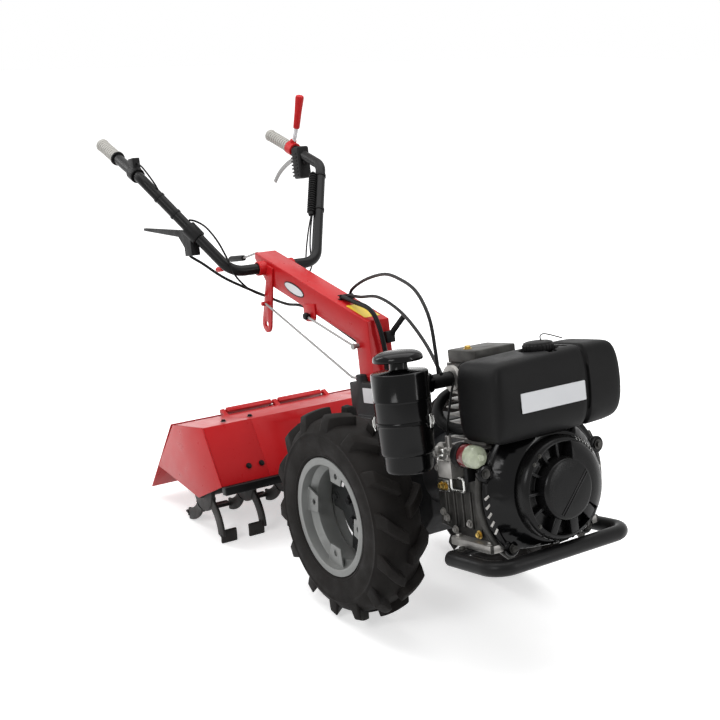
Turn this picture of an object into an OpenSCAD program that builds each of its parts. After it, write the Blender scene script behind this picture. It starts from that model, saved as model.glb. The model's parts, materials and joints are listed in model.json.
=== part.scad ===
// Two-wheeled walking tractor with a rear rotary tiller, parked on its tyres and tines.
// Chassis frame: origin on the middle of the axle, X forwards, Y to the left, Z up, in millimetres.
// on_floor() tips the chassis back until the tines stand on the floor beside the tyres.

/* [Wheels] */
// Radius over the tyre lugs
tyre_r = 250; // [235:1:300]
// Width of the tyre section
tyre_w = 124; // [118:1:150]
// Height of the tread lugs
lug_h = 20; // [12:1:26]
// Number of tread lugs on each half of the tyre
lug_n = 14; // [12:1:18]
// Thickness of a tread lug at its top
lug_t = 24; // [18:1:30]
// Radius over the rim flanges
rim_r = 140; // [130:1:150]
// Width over the rim flanges
rim_w = 112; // [100:1:114]
// Wall of the rim
rim_t = 4; // [3:0.5:6]
// Distance between the middles of the two tyres
track = 430; // [420:1:520]
// Radius of the bolt circle of the rim tabs
tab_circle_r = 96; // [90:1:100]
// Radius of the bolt holes in the rim tabs
tab_hole_r = 6.5; // [4:0.5:8]
// Distance from the middle of the tyre in to the wheel disc
disc_set = 28; // [20:1:34]
// Radius of the half axles
axle_r = 18; // [14:1:24]

/* [Gearbox] */
// Length of the gearbox
gearbox_l = 290; // [260:1:320]
// Width of the gearbox
gearbox_w = 140; // [120:1:150]
// Height of the gearbox top above the axle
gearbox_top = 190; // [170:1:205]
// Depth of the gearbox bottom below the axle
gearbox_drop = 85; // [70:1:110]
// Distance from the axle to the front face of the gearbox
gearbox_front = 130; // [110:1:150]
// Height of the shift tower's top above the axle
tower_top = 272; // [250:1:285]
// Length of the clutch housing
clutch_l = 110; // [90:1:140]
// Radius of the clutch housing's flange
clutch_r = 98; // [92:1:100]
// Height of the power take-off above the axle
pto_z = 75; // [60:1:95]

/* [Engine] */
// Height of the crankshaft above the axle
crank_z = 75; // [65:1:90]
// Length of the crankcase
case_l = 200; // [190:1:230]
// Width of the crankcase
case_w = 250; // [220:1:270]
// Height of the crankcase top above the axle
case_top = 150; // [140:1:165]
// Depth of the engine feet below the axle
engine_drop = 42; // [35:1:60]
// Width over the engine feet
feet_w = 300; // [270:1:330]
// Height of the cylinder barrel with its fins
barrel_h = 150; // [130:1:165]
// Width of the cylinder fins
barrel_w = 170; // [150:1:180]
// Height of the cylinder head and rocker cover
head_h = 68; // [55:1:80]
// Radius of the flywheel shroud's flange
shroud_r = 164; // [155:1:170]
// Radius of the recoil starter
recoil_r = 110; // [100:1:114]
// Length of the recoil starter
recoil_l = 42; // [30:1:55]
// Length of the fuel tank along the machine
tank_l = 142; // [132:1:150]
// Width of the fuel tank across the machine
tank_w = 345; // [325:1:400]
// Height of the fuel tank
tank_h = 176; // [160:1:190]
// Radius of the air cleaner
cleaner_r = 61; // [50:1:64]
// Height of the air cleaner without its cap
cleaner_h = 235; // [220:1:250]
// Width between the side tubes of the front bumper
bumper_w = 366; // [350:1:400]
// Radius of the bumper tube
bumper_r = 16.5; // [12:0.5:20]

/* [Column and handlebar] */
// Width of the steering column's box section
column_w = 66; // [54:1:80]
// Height of the column's sloping beam, square to its slope
beam_h = 66; // [58:1:76]
// Depth of the column's upright along the machine
upright_l = 60; // [50:1:75]
// Height of the column's knee above the axle
knee_z = 422; // [400:1:450]
// Length of the sloping beam along the machine
beam_l = 540; // [510:1:560]
// Slope of the beam
beam_slope = 19.8; // [17:0.2:23]
// Wall of the column
column_t = 4; // [3:0.5:6]
// Radius of the handlebar tube
bar_r = 15; // [12:0.5:18]
// Width between the lower bends of the handlebar
bar_low_w = 272; // [240:1:300]
// Width between the grips
grip_w = 568; // [520:1:600]
// Length of a hand grip
grip_l = 125; // [110:1:140]
// Radius of a hand grip
grip_r = 18.5; // [17:0.5:22]

/* [Tiller] */
// Distance from the axle back to the tine rotor
rotor_back = 610; // [590:1:660]
// Drop of the tine rotor's axis below the axle
rotor_drop = 7; // [0:1:20]
// Half of the tiller's width over its side plates
tiller_half_w = 332; // [300:1:380]
// Half of the width of the middle part of the hood
hood_half_w = 187; // [170:1:220]
// Sheet thickness of the tiller's hood
sheet_t = 3; // [2:0.5:4]
// Radius at which a tine leaves its flange
tine_root_r = 45; // [40:1:50]
// Radius of a tine's curve
tine_curve_r = 103; // [95:1:115]
// Width of a tine's shank
tine_w = 34; // [26:1:40]
// Thickness of a tine
tine_t = 8; // [6:0.5:10]
// Width of a tine's foot
tine_foot_w = 48; // [40:1:60]
// Length of the rear flap from its hinge to its lip
flap_l = 297; // [280:1:305]

/* [Hidden] */

// Clearances and the overrun of every cut
seat_gap = 0.3;
shaft_gap = 0.08;
run_gap = 6;
overrun = 5;
// A bend of a tube is a little fuller than its straights and laps over their ends
bend_swell = 0.15;
bend_lap = 1;

// The parking stance
axle_z = tyre_r;
tine_sweep = 70;
tine_web_sweep = 58;
tine_foot_start = 50;
tine_tip_ring_r = tine_curve_r + tine_t / 2;
tine_tip_x = tine_root_r + tine_tip_ring_r * sin(tine_sweep);
tine_tip_y = tine_curve_r - tine_tip_ring_r * cos(tine_sweep);
tine_n = 4;
tine_pitch = 360 / tine_n;
// The heel of a tine's web, which touches the floor together with the tip of the tine before it
tine_heel_r = tine_curve_r + tine_w / 2;
tine_heel_x = tine_root_r + tine_heel_r * sin(tine_web_sweep);
tine_heel_y = tine_curve_r - tine_heel_r * cos(tine_web_sweep);
next_heel_x = tine_heel_x * cos(tine_pitch) - tine_heel_y * sin(tine_pitch);
next_heel_y = tine_heel_x * sin(tine_pitch) + tine_heel_y * cos(tine_pitch);
tine_phase = atan2(next_heel_y - tine_tip_y, tine_tip_x - next_heel_x);
rotor_height = tine_tip_x * sin(tine_phase) + tine_tip_y * cos(tine_phase);
rotor_x = -rotor_back;
rotor_z = -rotor_drop;
park_tilt = asin((axle_z - rotor_height) / norm([rotor_back, rotor_drop])) - atan2(rotor_drop, rotor_back);

// Stations along the engine
engine_x0 = gearbox_front + clutch_l;
shroud_x0 = engine_x0 + case_l;
shroud_flange_t = 8;
shroud_l = 45;
recoil_x0 = shroud_x0 + shroud_l;
engine_front = recoil_x0 + recoil_l;
recoil_face_share = 0.88;
base_z = -engine_drop;
head_z0 = case_top + barrel_h;
tank_x1 = engine_front - seat_gap;
tank_x0 = tank_x1 - tank_l;
tank_y_off = 7;
tank_lift = 5;
tank_z0 = crank_z + recoil_r + tank_lift;

// Front bumper
bumper_z = base_z - bumper_r;
bumper_x1 = 494;
bumper_x0 = engine_x0 + case_l / 2;
bumper_bend_r = 42;

// Column outline
column_front_x = -115;
column_rear_x = column_front_x - upright_l;
column_foot_z = tower_top;
beam_dir = [-cos(beam_slope), sin(beam_slope)];
beam_down = [-sin(beam_slope), -cos(beam_slope)];
knee = [column_front_x, knee_z];
beam_end_top = knee + beam_dir * beam_l / cos(beam_slope);
beam_end_low = beam_end_top + beam_down * beam_h;
inner_knee = [column_rear_x, beam_end_low[1] - (column_rear_x - beam_end_low[0]) * tan(beam_slope)];

// Handlebar route
bar_end_share = 0.897;
bar_set = 27;
bar_clamp = knee + beam_dir * bar_end_share * beam_l / cos(beam_slope) + beam_down * bar_set;
bar_x = bar_clamp[0];
bar_z = bar_clamp[1];
bar_rise_x = -170;
bar_rise_z = 282;
bar_rise_y = 156;
bar_top_x = bar_x + bar_rise_x;
bar_top_z = bar_z + bar_rise_z;
bar_top_y = bar_low_w / 2 + bar_rise_y;
grip_run_x = -277.5;
grip_run_z = 127;
grip_end = [bar_top_x + grip_run_x, grip_w / 2, bar_top_z + grip_run_z];
bar_bend_r = 60;

// Length of the machine on the floor, from the bumper to the grips
function floor_x(p) = p[0] * cos(park_tilt) - p[1] * sin(park_tilt);
grip_dir = unit(grip_end - [bar_top_x, bar_top_y, bar_top_z]);
grip_floor_dir = floor_x([grip_dir[0], grip_dir[2]]);
bumper_floor_x = floor_x([bumper_x1, bumper_z]) + bumper_r;
recoil_floor_x = floor_x([engine_front, crank_z - recoil_r * recoil_face_share]);
front_x = max(bumper_floor_x, recoil_floor_x);
rear_x = floor_x([grip_end[0], grip_end[2]]) - grip_r * sqrt(1 - pow(grip_floor_dir, 2));
mid_x = (front_x + rear_x) / 2;

// Shapes that repeat
function unit(v) = v / norm(v);
function flat(p) = [p[0], p[2]];

module on_floor() {
    translate([-mid_x, 0, axle_z])
        rotate([0, -park_tilt, 0])
            children();
}

module at_wheel(side) {
    translate([-mid_x, side * track / 2, axle_z])
        rotate([-90 * side, 0, 0])
            children();
}

module block(low, high) {
    translate(low)
        cube(high - low);
}

module rod(a, b, r) {
    axis = unit(b - a);
    tilt = acos(axis[2]);
    translate(a)
        rotate([0, tilt, atan2(axis[1], axis[0])])
            cylinder(r = r, h = norm(b - a), $fn = 48);
}

module plate(outline, y0, y1) {
    translate([0, y1, 0])
        rotate([90, 0, 0])
            linear_extrude(y1 - y0)
                polygon(outline);
}

module turned_x(outline, x, y, z) {
    translate([x, y, z])
        rotate([0, 90, 0])
            rotate_extrude($fn = 64)
                polygon(outline);
}

// A bent tube through points, with a round bend of bend_r at each inner point
module tube(points, r, bend_r) {
    last = len(points) - 1;
    dirs = [for (i = [0 : last - 1]) unit(points[i + 1] - points[i])];
    turns = [for (i = [0 : last]) i == 0 || i == last ? 0 : acos(dirs[i - 1] * dirs[i])];
    cuts = [for (turn = turns) bend_r * tan(turn / 2)];
    for (i = [0 : last - 1])
        rod(points[i] + dirs[i] * (cuts[i] - (i == 0 ? 0 : bend_lap)),
            points[i + 1] - dirs[i] * (cuts[i + 1] - (i == last - 1 ? 0 : bend_lap)), r);
    for (i = [1 : last - 1])
        if (turns[i] > 0)
            tube_bend(points[i] - dirs[i - 1] * cuts[i], dirs[i - 1], dirs[i], turns[i], r, bend_r);
}

module tube_bend(start, d0, d1, turn, r, bend_r) {
    inward = unit(d1 - (d1 * d0) * d0);
    side = cross(-inward, d0);
    centre = start + inward * bend_r;
    multmatrix([
        [-inward[0], d0[0], side[0], centre[0]],
        [-inward[1], d0[1], side[1], centre[1]],
        [-inward[2], d0[2], side[2], centre[2]],
        [0, 0, 0, 1]
    ])
        rotate_extrude(angle = turn, $fn = 48)
            translate([bend_r, 0])
                circle(r = r + bend_swell, $fn = 48);
}

// Wheels, drawn with the outside of the wheel upwards and then laid on the axle
carcass_r = tyre_r - lug_h;
flange_h = 13;
bead_r = rim_r - flange_h;
bead_half = rim_w / 2 - rim_t - seat_gap;
side_half = tyre_w / 2;
tyre_wall = 12;
carcass_h = carcass_r - rim_r - seat_gap;
tyre_sides = 28;
// A ring of flat facets is nearest to the axle at their middles
facet_share = 1 / cos(180 / tyre_sides);
tyre_out_shares = [[0.22, 1], [0.67, 0.97], [0.91, 0.74], [1, 0.29]];
tyre_in_shares = [[0.75, 0.7]];
lug_root = 12;
lug_flare = 5;
lug_skew = 40;
lug_fall = 5;
lug_foot_share = 0.6;
lug_foot_r = rim_r + carcass_h * lug_foot_share;
lug_in_share = 0.08;
lug_out_share = 0.87;
well_r = bead_r - 15;
well_share = 0.2;
well_top_share = 0.3;
well_half = rim_w * well_share;
well_top_half = rim_w * well_top_share;
tab_t = 5;
tab_out_w = 66;
tab_in_w = 40;
tab_in_r = 78;
tab_set = 18;
tab_n = 4;
disc_t = 5;
disc_out = -disc_set;
disc_in = disc_out - disc_t;
disc_r = 76;
disc_arm_r = 112;
disc_arm_w = 58;
hub_flange_r = 55;
hub_flange_t = 12;
hub_neck_r = 30;
trumpet_l = 58;
hub_y = gearbox_w / 2 + trumpet_l;
hub_in = hub_y - track / 2;
axle_bury = 5;
axle_in = gearbox_w / 2 + axle_bury - track / 2;
trumpet_y = hub_y - run_gap;
trumpet_r = 38;

function tyre_point(share) = [rim_r + seat_gap + share[0] * carcass_h, share[1] * side_half];
function mirrored(points) = [for (i = [len(points) - 1 : -1 : 0]) [points[i][0], -points[i][1]]];
function inner_back(points) = concat([for (p = points) [p[0], -p[1]]],
    mirrored([for (p = points) [p[0], -p[1]]]));

// A ring with flat facets, turned from an outline of [radius, height] points
module ring(outline, sides) {
    n = len(outline);
    points = [for (i = [0 : sides - 1], p = outline)
        [p[0] * cos(i * 360 / sides), p[0] * sin(i * 360 / sides), p[1]]];
    faces = [for (i = [0 : sides - 1], k = [0 : n - 1]) [
        i * n + k, (i + 1) % sides * n + k, (i + 1) % sides * n + (k + 1) % n, i * n + (k + 1) % n
    ]];
    polyhedron(points, faces);
}

// A tread lug: a slanted bar from the crown to the shoulder, with its foot on the sidewall
function lug_end(r, y, t, z) = [for (e = [-1, 1]) [sqrt(r * r - pow(y + e * t / 2, 2)), y + e * t / 2, z]];
module lug(half, side) {
    y = -side * lug_skew;
    root_t = lug_t + 2 * lug_flare;
    hull()
        polyhedron(concat(
            lug_end(carcass_r - lug_root, 0, root_t, half * lug_in_share * side_half),
            lug_end(tyre_r, 0, lug_t, half * lug_in_share * side_half),
            lug_end(carcass_r - lug_root, y, root_t, half * lug_out_share * side_half),
            lug_end(tyre_r - lug_fall, y, lug_t, half * lug_out_share * side_half),
            lug_end(lug_foot_r, y, lug_t, half * side_half)
        ), [[0, 1, 3, 2], [4, 5, 7, 6], [6, 7, 9, 8], [0, 2, 6, 4], [1, 3, 7, 5]]);
}

module tyre_body(side) {
    outer_half = concat([[(bead_r + seat_gap) * facet_share, bead_half],
        [(rim_r + seat_gap) * facet_share, bead_half]],
        [for (share = tyre_out_shares) tyre_point(share)]);
    inner_half = concat([[(bead_r + seat_gap) * facet_share, bead_half - tyre_wall]],
        [for (share = tyre_in_shares) tyre_point(share)]);
    ring(concat(outer_half, mirrored(outer_half), inner_back(inner_half)), tyre_sides);
    for (i = [0 : lug_n - 1])
        for (half = [-1, 1])
            rotate((i + half / 4) * 360 / lug_n)
                lug(half, side);
}

module rim_body() {
    half = rim_w / 2;
    outer = [
        [rim_r, half], [rim_r, half - rim_t], [bead_r, half - rim_t], [bead_r, well_top_half],
            [well_r, well_half]
    ];
    inner = [
        [bead_r - rim_t, half], [bead_r - rim_t, well_top_half - rim_t / 2],
            [well_r - rim_t, well_half - rim_t / 2]
    ];
    rotate_extrude($fn = 96)
        polygon(concat(outer, mirrored(outer), inner_back(inner)));
    rim_tabs(half - tab_set - tab_t, true);
    rim_tabs(disc_in - tab_t, false);
}

module rim_tabs(z, drilled) {
    hold_r = bead_r - rim_t / 2;
    for (i = [0 : tab_n - 1])
        rotate(i * 360 / tab_n)
            difference() {
                intersection() {
                    translate([0, 0, z])
                        linear_extrude(tab_t)
                            polygon([[tab_in_r, -tab_in_w / 2], [hold_r + overrun, -tab_out_w / 2],
                                [hold_r + overrun, tab_out_w / 2], [tab_in_r, tab_in_w / 2]]);
                    translate([0, 0, z - overrun])
                        cylinder(r = hold_r, h = tab_t + 2 * overrun, $fn = 96);
                }
                if (drilled)
                    translate([tab_circle_r, 0, z - overrun])
                        cylinder(r = tab_hole_r, h = tab_t + 2 * overrun, $fn = 32);
            }
}

module disc_body() {
    translate([0, 0, disc_in])
        cylinder(r = disc_r, h = disc_t, $fn = 96);
    for (i = [0 : 1])
        rotate(i * 90)
            intersection() {
                translate([-disc_arm_r, -disc_arm_w / 2, disc_in])
                    cube([2 * disc_arm_r, disc_arm_w, disc_t]);
                translate([0, 0, disc_in - overrun])
                    cylinder(r = disc_arm_r, h = disc_t + 2 * overrun, $fn = 96);
            }
}

module hub_body() {
    translate([0, 0, disc_in - hub_flange_t])
        cylinder(r = hub_flange_r, h = hub_flange_t, $fn = 64);
    translate([0, 0, hub_in])
        cylinder(r = hub_neck_r, h = disc_in - hub_in, $fn = 64);
    translate([0, 0, axle_in])
        cylinder(r = axle_r, h = hub_in - axle_in + overrun, $fn = 64);
}

module tyre_right() color("#1c1c1d") at_wheel(-1) tyre_body(-1);
module tyre_left() color("#1c1c1d") at_wheel(1) tyre_body(1);
module rim_right() color("#b9bcc0") at_wheel(-1) rim_body();
module rim_left() color("#b9bcc0") at_wheel(1) rim_body();
module disc_right() color("#6d7073") at_wheel(-1) disc_body();
module disc_left() color("#6d7073") at_wheel(1) disc_body();
module hub_right() color("#3b3d40") at_wheel(-1) hub_body();
module hub_left() color("#3b3d40") at_wheel(1) hub_body();

// Gearbox, clutch housing and engine
gearbox_rear = gearbox_front - gearbox_l;
gearbox_nose = 60;
gearbox_heel = 40;
clutch_neck_set = 10;
clutch_neck_r = clutch_r - clutch_neck_set;
clutch_flange_t = 14;
tower_front = -75;
tower_l = 115;
tower_half = 58;
selector_l = 24;
selector_w = 20;
selector_h = 20;
selector_x = column_front_x - upright_l / 2;

module gearbox() color("#303236") on_floor() {
    difference() {
        union() {
            plate([
                [gearbox_rear, gearbox_top], [gearbox_rear, gearbox_heel - gearbox_drop],
                [gearbox_rear + gearbox_heel, -gearbox_drop], [gearbox_front - gearbox_nose, -gearbox_drop],
                [gearbox_front, gearbox_nose - gearbox_drop], [gearbox_front, gearbox_top]
            ], -gearbox_w / 2, gearbox_w / 2);
            rod([0, -trumpet_y, 0], [0, trumpet_y, 0], trumpet_r);
            block([tower_front - tower_l, -tower_half, gearbox_top - overrun],
                [tower_front, tower_half, tower_top]);
            block([selector_x - selector_l / 2, -tower_half, tower_top - overrun],
                [selector_x + selector_l / 2, selector_w - tower_half, tower_top + selector_h]);
        }
        for (side = [-1, 1])
            rod([0, side * (axle_in + track / 2 - overrun), 0], [0, side * (trumpet_y + overrun), 0],
                axle_r + shaft_gap);
    }
}

module clutch_housing() color("#303236") on_floor()
    turned_x([
        [0, 0], [clutch_neck_r, 0], [clutch_neck_r, clutch_l - 2 * clutch_flange_t],
        [clutch_r, clutch_l - clutch_flange_t], [clutch_r, clutch_l], [0, clutch_l]
    ], gearbox_front, 0, crank_z);

feet_l = 140;
feet_h = 16;
feet_lap = 1;
rib_t = 6;
rib_h = 7;
rib_n = 6;
case_side_y = case_w / 2;
case_low_z = base_z + feet_h;
case_rise = 14;
case_slope_l = 22;

module crankcase() color("#6f7276") on_floor() {
    plate([
        [engine_x0, case_low_z + case_rise],
        [engine_x0 + case_slope_l, case_low_z + case_rise - overrun / 2],
        [shroud_x0 - feet_l, case_low_z], [shroud_x0, case_low_z], [shroud_x0, case_top],
            [engine_x0, case_top]
    ], -case_side_y, case_side_y);
    block([shroud_x0 - feet_l, -feet_w / 2, base_z], [shroud_x0, feet_w / 2, case_low_z + feet_lap]);
    for (i = [1 : rib_n])
        block([engine_x0 + i * case_l / (rib_n + 1), -case_side_y - rib_h, case_low_z + case_rise + rib_t],
            [engine_x0 + i * case_l / (rib_n + 1) + rib_t, case_side_y + rib_h, crank_z]);
}

fin_n = 9;
fin_t = 4;
fin_deep = 22;
barrel_share = 0.6;
barrel_x0 = engine_x0 + rib_t;
barrel_x1 = barrel_x0 + case_l * barrel_share;

module cylinder_body() {
    pitch = barrel_h / fin_n;
    block([barrel_x0 + fin_deep, fin_deep - barrel_w / 2, case_top],
        [barrel_x1 - fin_deep, barrel_w / 2 - fin_deep, head_z0]);
    for (i = [0 : fin_n - 1])
        block([barrel_x0, -barrel_w / 2, case_top + pitch * i + (pitch - fin_t) / 2],
            [barrel_x1, barrel_w / 2, case_top + pitch * i + (pitch + fin_t) / 2]);
}
module cylinder_block() color("#5c5f63") on_floor() cylinder_body();

head_low_share = 0.58;
rocker_left = 37;
rocker_right = -76;
rocker_inset = 12;

module rocker_cover() color("#8b8e91") on_floor() {
    head_low_z = head_z0 + head_h * head_low_share;
    block([barrel_x0, -barrel_w / 2 + rocker_inset, head_z0],
        [barrel_x1, barrel_w / 2 - rocker_inset, head_low_z]);
    block([barrel_x0 + rocker_inset, rocker_right, head_low_z],
        [barrel_x1 - rocker_inset, rocker_left, head_z0 + head_h]);
}

shroud_shares = [[0.92, 0.18], [0.83, 0.65], [0.71, 1]];
shroud_ear_r = 18;
shroud_ears = [[156, 56], [104, -112]];
shroud_ear_share = 1.5;

module flywheel_shroud() color("#161617") on_floor() {
    intersection() {
        turned_x(concat([[0, 0], [shroud_r, 0], [shroud_r, shroud_flange_t]],
            [for (share = shroud_shares) [share[0] * shroud_r, share[1] * shroud_l]], [[0, shroud_l]]),
            shroud_x0, 0, crank_z);
        block([shroud_x0 - overrun, -shroud_r - overrun, base_z + seat_gap],
            [recoil_x0 + overrun, shroud_r + overrun, tank_z0 - seat_gap]);
    }
    for (side = [-1, 1])
        for (ear = shroud_ears)
            rod([shroud_x0, side * ear[0], crank_z + ear[1]],
                [shroud_x0 + shroud_flange_t * shroud_ear_share, side * ear[0], crank_z + ear[1]],
                    shroud_ear_r);
}

recoil_shares = [
    [0, 0], [1, 0], [1, 0.4], [0.95, 0.62], [0.89, 0.68], [0.87, 0.45], [0.62, 0.45], [0.58, 0.92],
        [0.53, 1], [0, 1]
];

module recoil_starter() color("#161617") on_floor()
    turned_x([for (share = recoil_shares) [share[0] * recoil_r, share[1] * recoil_l]], recoil_x0, 0,
        crank_z);

tank_round = 41;
tank_sides = 32;
tank_fall = 9;

module tank_shell() {
    hull()
        for (x = [tank_x0 + tank_round, tank_x1 - tank_round])
            for (side = [-1, 1])
                for (z = [tank_z0 + tank_round, tank_z0 + tank_h - tank_round - (side < 0 ? tank_fall : 0)])
                    translate([x, tank_y_off + side * (tank_w / 2 - tank_round), z])
                        sphere(r = tank_round, $fn = tank_sides);
}

cap_r = 32;
cap_h = 29;
cap_x = (tank_x0 + tank_x1) / 2;
cap_y = 12;
cap_pocket_r = 41;
cap_pocket_h = 17;
cap_z = tank_z0 + tank_h - cap_pocket_h;

module fuel_tank() color("#1b1b1c") on_floor()
    difference() {
        tank_shell();
        translate([cap_x, cap_y, cap_z])
            cylinder(r = cap_pocket_r, h = tank_h, $fn = 48);
    }

module fuel_cap() color("#141415") on_floor()
    translate([cap_x, cap_y, cap_z])
        cylinder(r = cap_r, h = cap_h, $fn = 48);

cleaner_share = 0.3;
cleaner_x = engine_x0 + case_l * cleaner_share;
cleaner_gap = 49;
cleaner_y = -case_side_y - cleaner_gap - cleaner_r;
cleaner_z0 = 136;
bowl_shares = [[0.78, 0], [0.83, 0.04], [0.85, 0.33], [0.94, 0.36], [0.98, 0.93], [1, 0.93], [1, 1]];
bowl_share = 0.468;
bowl_h = cleaner_h * bowl_share;
body_shares = [[0.97, 0], [1, 1]];
cleaner_neck_r = 19;
cleaner_neck_h = 22;
body_h = cleaner_h - bowl_h - cleaner_neck_h;
cleaner_cap_h = 21;
cleaner_cap_shares = [[0.84, 0], [0.87, 0.2], [0.8, 0.56], [0.62, 0.82], [0.36, 0.96]];
intake_rise = 11;
intake_z = head_z0 + intake_rise;
intake_r = 16;
intake_boss_r = 19;
intake_boss_l = 14;
intake_flange_t = 12;
intake_flange_w = 56;

module air_cleaner_bowl() color("#141415") on_floor()
    translate([cleaner_x, cleaner_y, cleaner_z0])
        rotate_extrude($fn = 64)
            polygon(concat([[0, 0]], [for (share = bowl_shares) [share[0] * cleaner_r, share[1] * bowl_h]],
                [[0, bowl_h]]));

module air_cleaner() color("#141415") on_floor() {
    translate([cleaner_x, cleaner_y, cleaner_z0 + bowl_h])
        rotate_extrude($fn = 64)
            polygon(concat([[0, 0]], [for (share = body_shares) [share[0] * cleaner_r, share[1] * body_h]],
                [[cleaner_neck_r, body_h], [cleaner_neck_r, body_h + cleaner_neck_h],
                    [0, body_h + cleaner_neck_h]]));
    rod([cleaner_x, cleaner_y, intake_z], [cleaner_x, cleaner_y + cleaner_r + intake_boss_l, intake_z],
        intake_boss_r);
}

module air_cleaner_cap() color("#141415") on_floor()
    translate([cleaner_x, cleaner_y, cleaner_z0 + bowl_h + body_h + cleaner_neck_h])
        rotate_extrude($fn = 64)
            polygon(concat([[0, 0]], [for (share = cleaner_cap_shares) [share[0] * cleaner_r,
                share[1] * cleaner_cap_h]],
                [[0, cleaner_cap_h]]));

head_side_y = -barrel_w / 2 + rocker_inset;

module intake_pipe() color("#26282a") on_floor() {
    rod([cleaner_x, cleaner_y + cleaner_r + intake_boss_l, intake_z],
        [cleaner_x, head_side_y - overrun, intake_z], intake_r);
    block([cleaner_x - intake_flange_w / 2, head_side_y - intake_flange_t, head_z0 + seat_gap],
        [cleaner_x + intake_flange_w / 2, head_side_y, intake_z + intake_r + seat_gap]);
}

muffler_back = 12;
muffler_x0 = engine_x0 - muffler_back;
muffler_l = 130;
muffler_h = 140;
muffler_w = 66;
muffler_y0 = 140;
muffler_z0 = 160;
exhaust_z = head_z0 + head_h * head_low_share / 2;
exhaust_r = 16;
exhaust_bend_share = 1.4;

module muffler() color("#2a2a2b") on_floor() {
    r = muffler_w / 2;
    block([muffler_x0, muffler_y0, muffler_z0 + r],
        [muffler_x0 + muffler_l, muffler_y0 + muffler_w, muffler_z0 + muffler_h - r]);
    for (z = [muffler_z0 + r, muffler_z0 + muffler_h - r])
        rod([muffler_x0, muffler_y0 + r, z], [muffler_x0 + muffler_l, muffler_y0 + r, z], r);
    tube([[cleaner_x, -head_side_y, exhaust_z], [cleaner_x, muffler_y0 + r, exhaust_z],
        [cleaner_x, muffler_y0 + r, muffler_z0 + muffler_h - r]], exhaust_r,
            exhaust_r * exhaust_bend_share);
}

pump_share = 0.41;
pump_x = engine_x0 + case_l * pump_share;
pump_l = 46;
pump_w = 38;
pump_z0 = 108;
pump_h = 62;
pump_block_share = 0.6;
pump_nut_r = 13;
pump_nut_h = 26;

module injection_pump() color("#9a9da0") on_floor() {
    block([pump_x - pump_l / 2, -case_side_y - pump_w, pump_z0],
        [pump_x + pump_l / 2, -case_side_y, pump_z0 + pump_h * pump_block_share]);
    rod([pump_x, -case_side_y - pump_w / 2, pump_z0],
        [pump_x, -case_side_y - pump_w / 2, pump_z0 + pump_h], pump_nut_r);
    rod([pump_x, -case_side_y - pump_w / 2, pump_z0 + pump_h - overrun],
        [pump_x, -case_side_y - pump_w / 2, pump_z0 + pump_h + pump_nut_h], pump_nut_r / 2);
}

filter_l = 48;
filter_x0 = shroud_x0 - filter_l - seat_gap;
filter_r = 26;
filter_y = -166;
filter_z = 158;
filter_lid_l = 16;
filter_arm_w = 24;

module fuel_filter() color("#7d2f2a") on_floor() {
    rod([filter_x0, filter_y, filter_z], [filter_x0 + filter_l, filter_y, filter_z], filter_r);
    block([filter_x0, filter_y, filter_z - filter_r - filter_arm_w],
        [filter_x0 + filter_lid_l, -case_side_y, filter_z - filter_r / 2]);
}

bumper_plate_l = 40;
bumper_plate_in = 110;

module front_bumper() color("#1d1d1e") on_floor() {
    half = bumper_w / 2;
    tube([[bumper_x0, -half, bumper_z], [bumper_x1, -half, bumper_z], [bumper_x1, half, bumper_z],
        [bumper_x0, half, bumper_z]], bumper_r, bumper_bend_r);
    for (side = [-1, 1])
        mirror([0, side > 0 ? 1 : 0, 0])
            block([bumper_x0, -half, base_z - bumper_r / 2],
                [bumper_x0 + bumper_plate_l, -bumper_plate_in, base_z]);
}

// Column, handlebar and controls
foot_l = 100;
foot_w = 70;
foot_t = 12;
sleeve_l = 24;
sleeve_r = 20;
end_lip = 14;
end_cut_l = 80;

// An upright box with an inverted channel for its sloping beam, cut away below its rear end
module column() color("#c4161c") on_floor() {
    half = column_w / 2;
    inner_half = half - column_t;
    difference() {
        union() {
            difference() {
                plate([
                    [column_front_x, column_foot_z], knee, beam_end_top, beam_end_low, inner_knee,
                    [column_rear_x, column_foot_z]
                ], -half, half);
                plate([
                    beam_end_top + beam_down * end_lip + beam_dir * overrun,
                    beam_end_low + (beam_down + beam_dir) * overrun,
                    beam_end_low - beam_dir * end_cut_l + beam_down * overrun
                ], -half - overrun, half + overrun);
            }
            block([(column_front_x + column_rear_x - foot_l) / 2, -foot_w / 2, column_foot_z],
                [(column_front_x + column_rear_x + foot_l) / 2, foot_w / 2, column_foot_z + foot_t]);
            for (side = [-1, 1])
                rod([bar_x, side * inner_half, bar_z], [bar_x, side * (half + sleeve_l), bar_z], sleeve_r);
        }
        plate([
            [column_front_x - column_t, column_foot_z - overrun],
            flat(beam_under(column_front_x - column_t, column_t)),
            beam_end_top + beam_down * column_t + beam_dir * overrun,
            beam_end_low + (beam_down + beam_dir) * overrun,
            inner_knee + beam_down * overrun,
            inner_knee + [column_t, 0],
            [column_rear_x + column_t, column_foot_z - overrun]
        ], -inner_half, inner_half);
        rod([bar_x, -half - sleeve_l - overrun, bar_z], [bar_x, half + sleeve_l + overrun, bar_z],
            bar_r + seat_gap);
    }
}

function bar_point(side, i) = [
    [bar_x, side * bar_low_w / 2, bar_z],
    [bar_top_x, side * bar_top_y, bar_top_z],
    [grip_end[0], side * grip_end[1], grip_end[2]]
][i];
function bar_low(side, share) = bar_point(side, 0) + (bar_point(side, 1) - bar_point(side, 0)) * share;
function bar_high(side, share) = bar_point(side, 1) + (bar_point(side, 2) - bar_point(side, 1)) * share;
grip_cap_t = 5;
bar_end_set = grip_cap_t + seat_gap;

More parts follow.
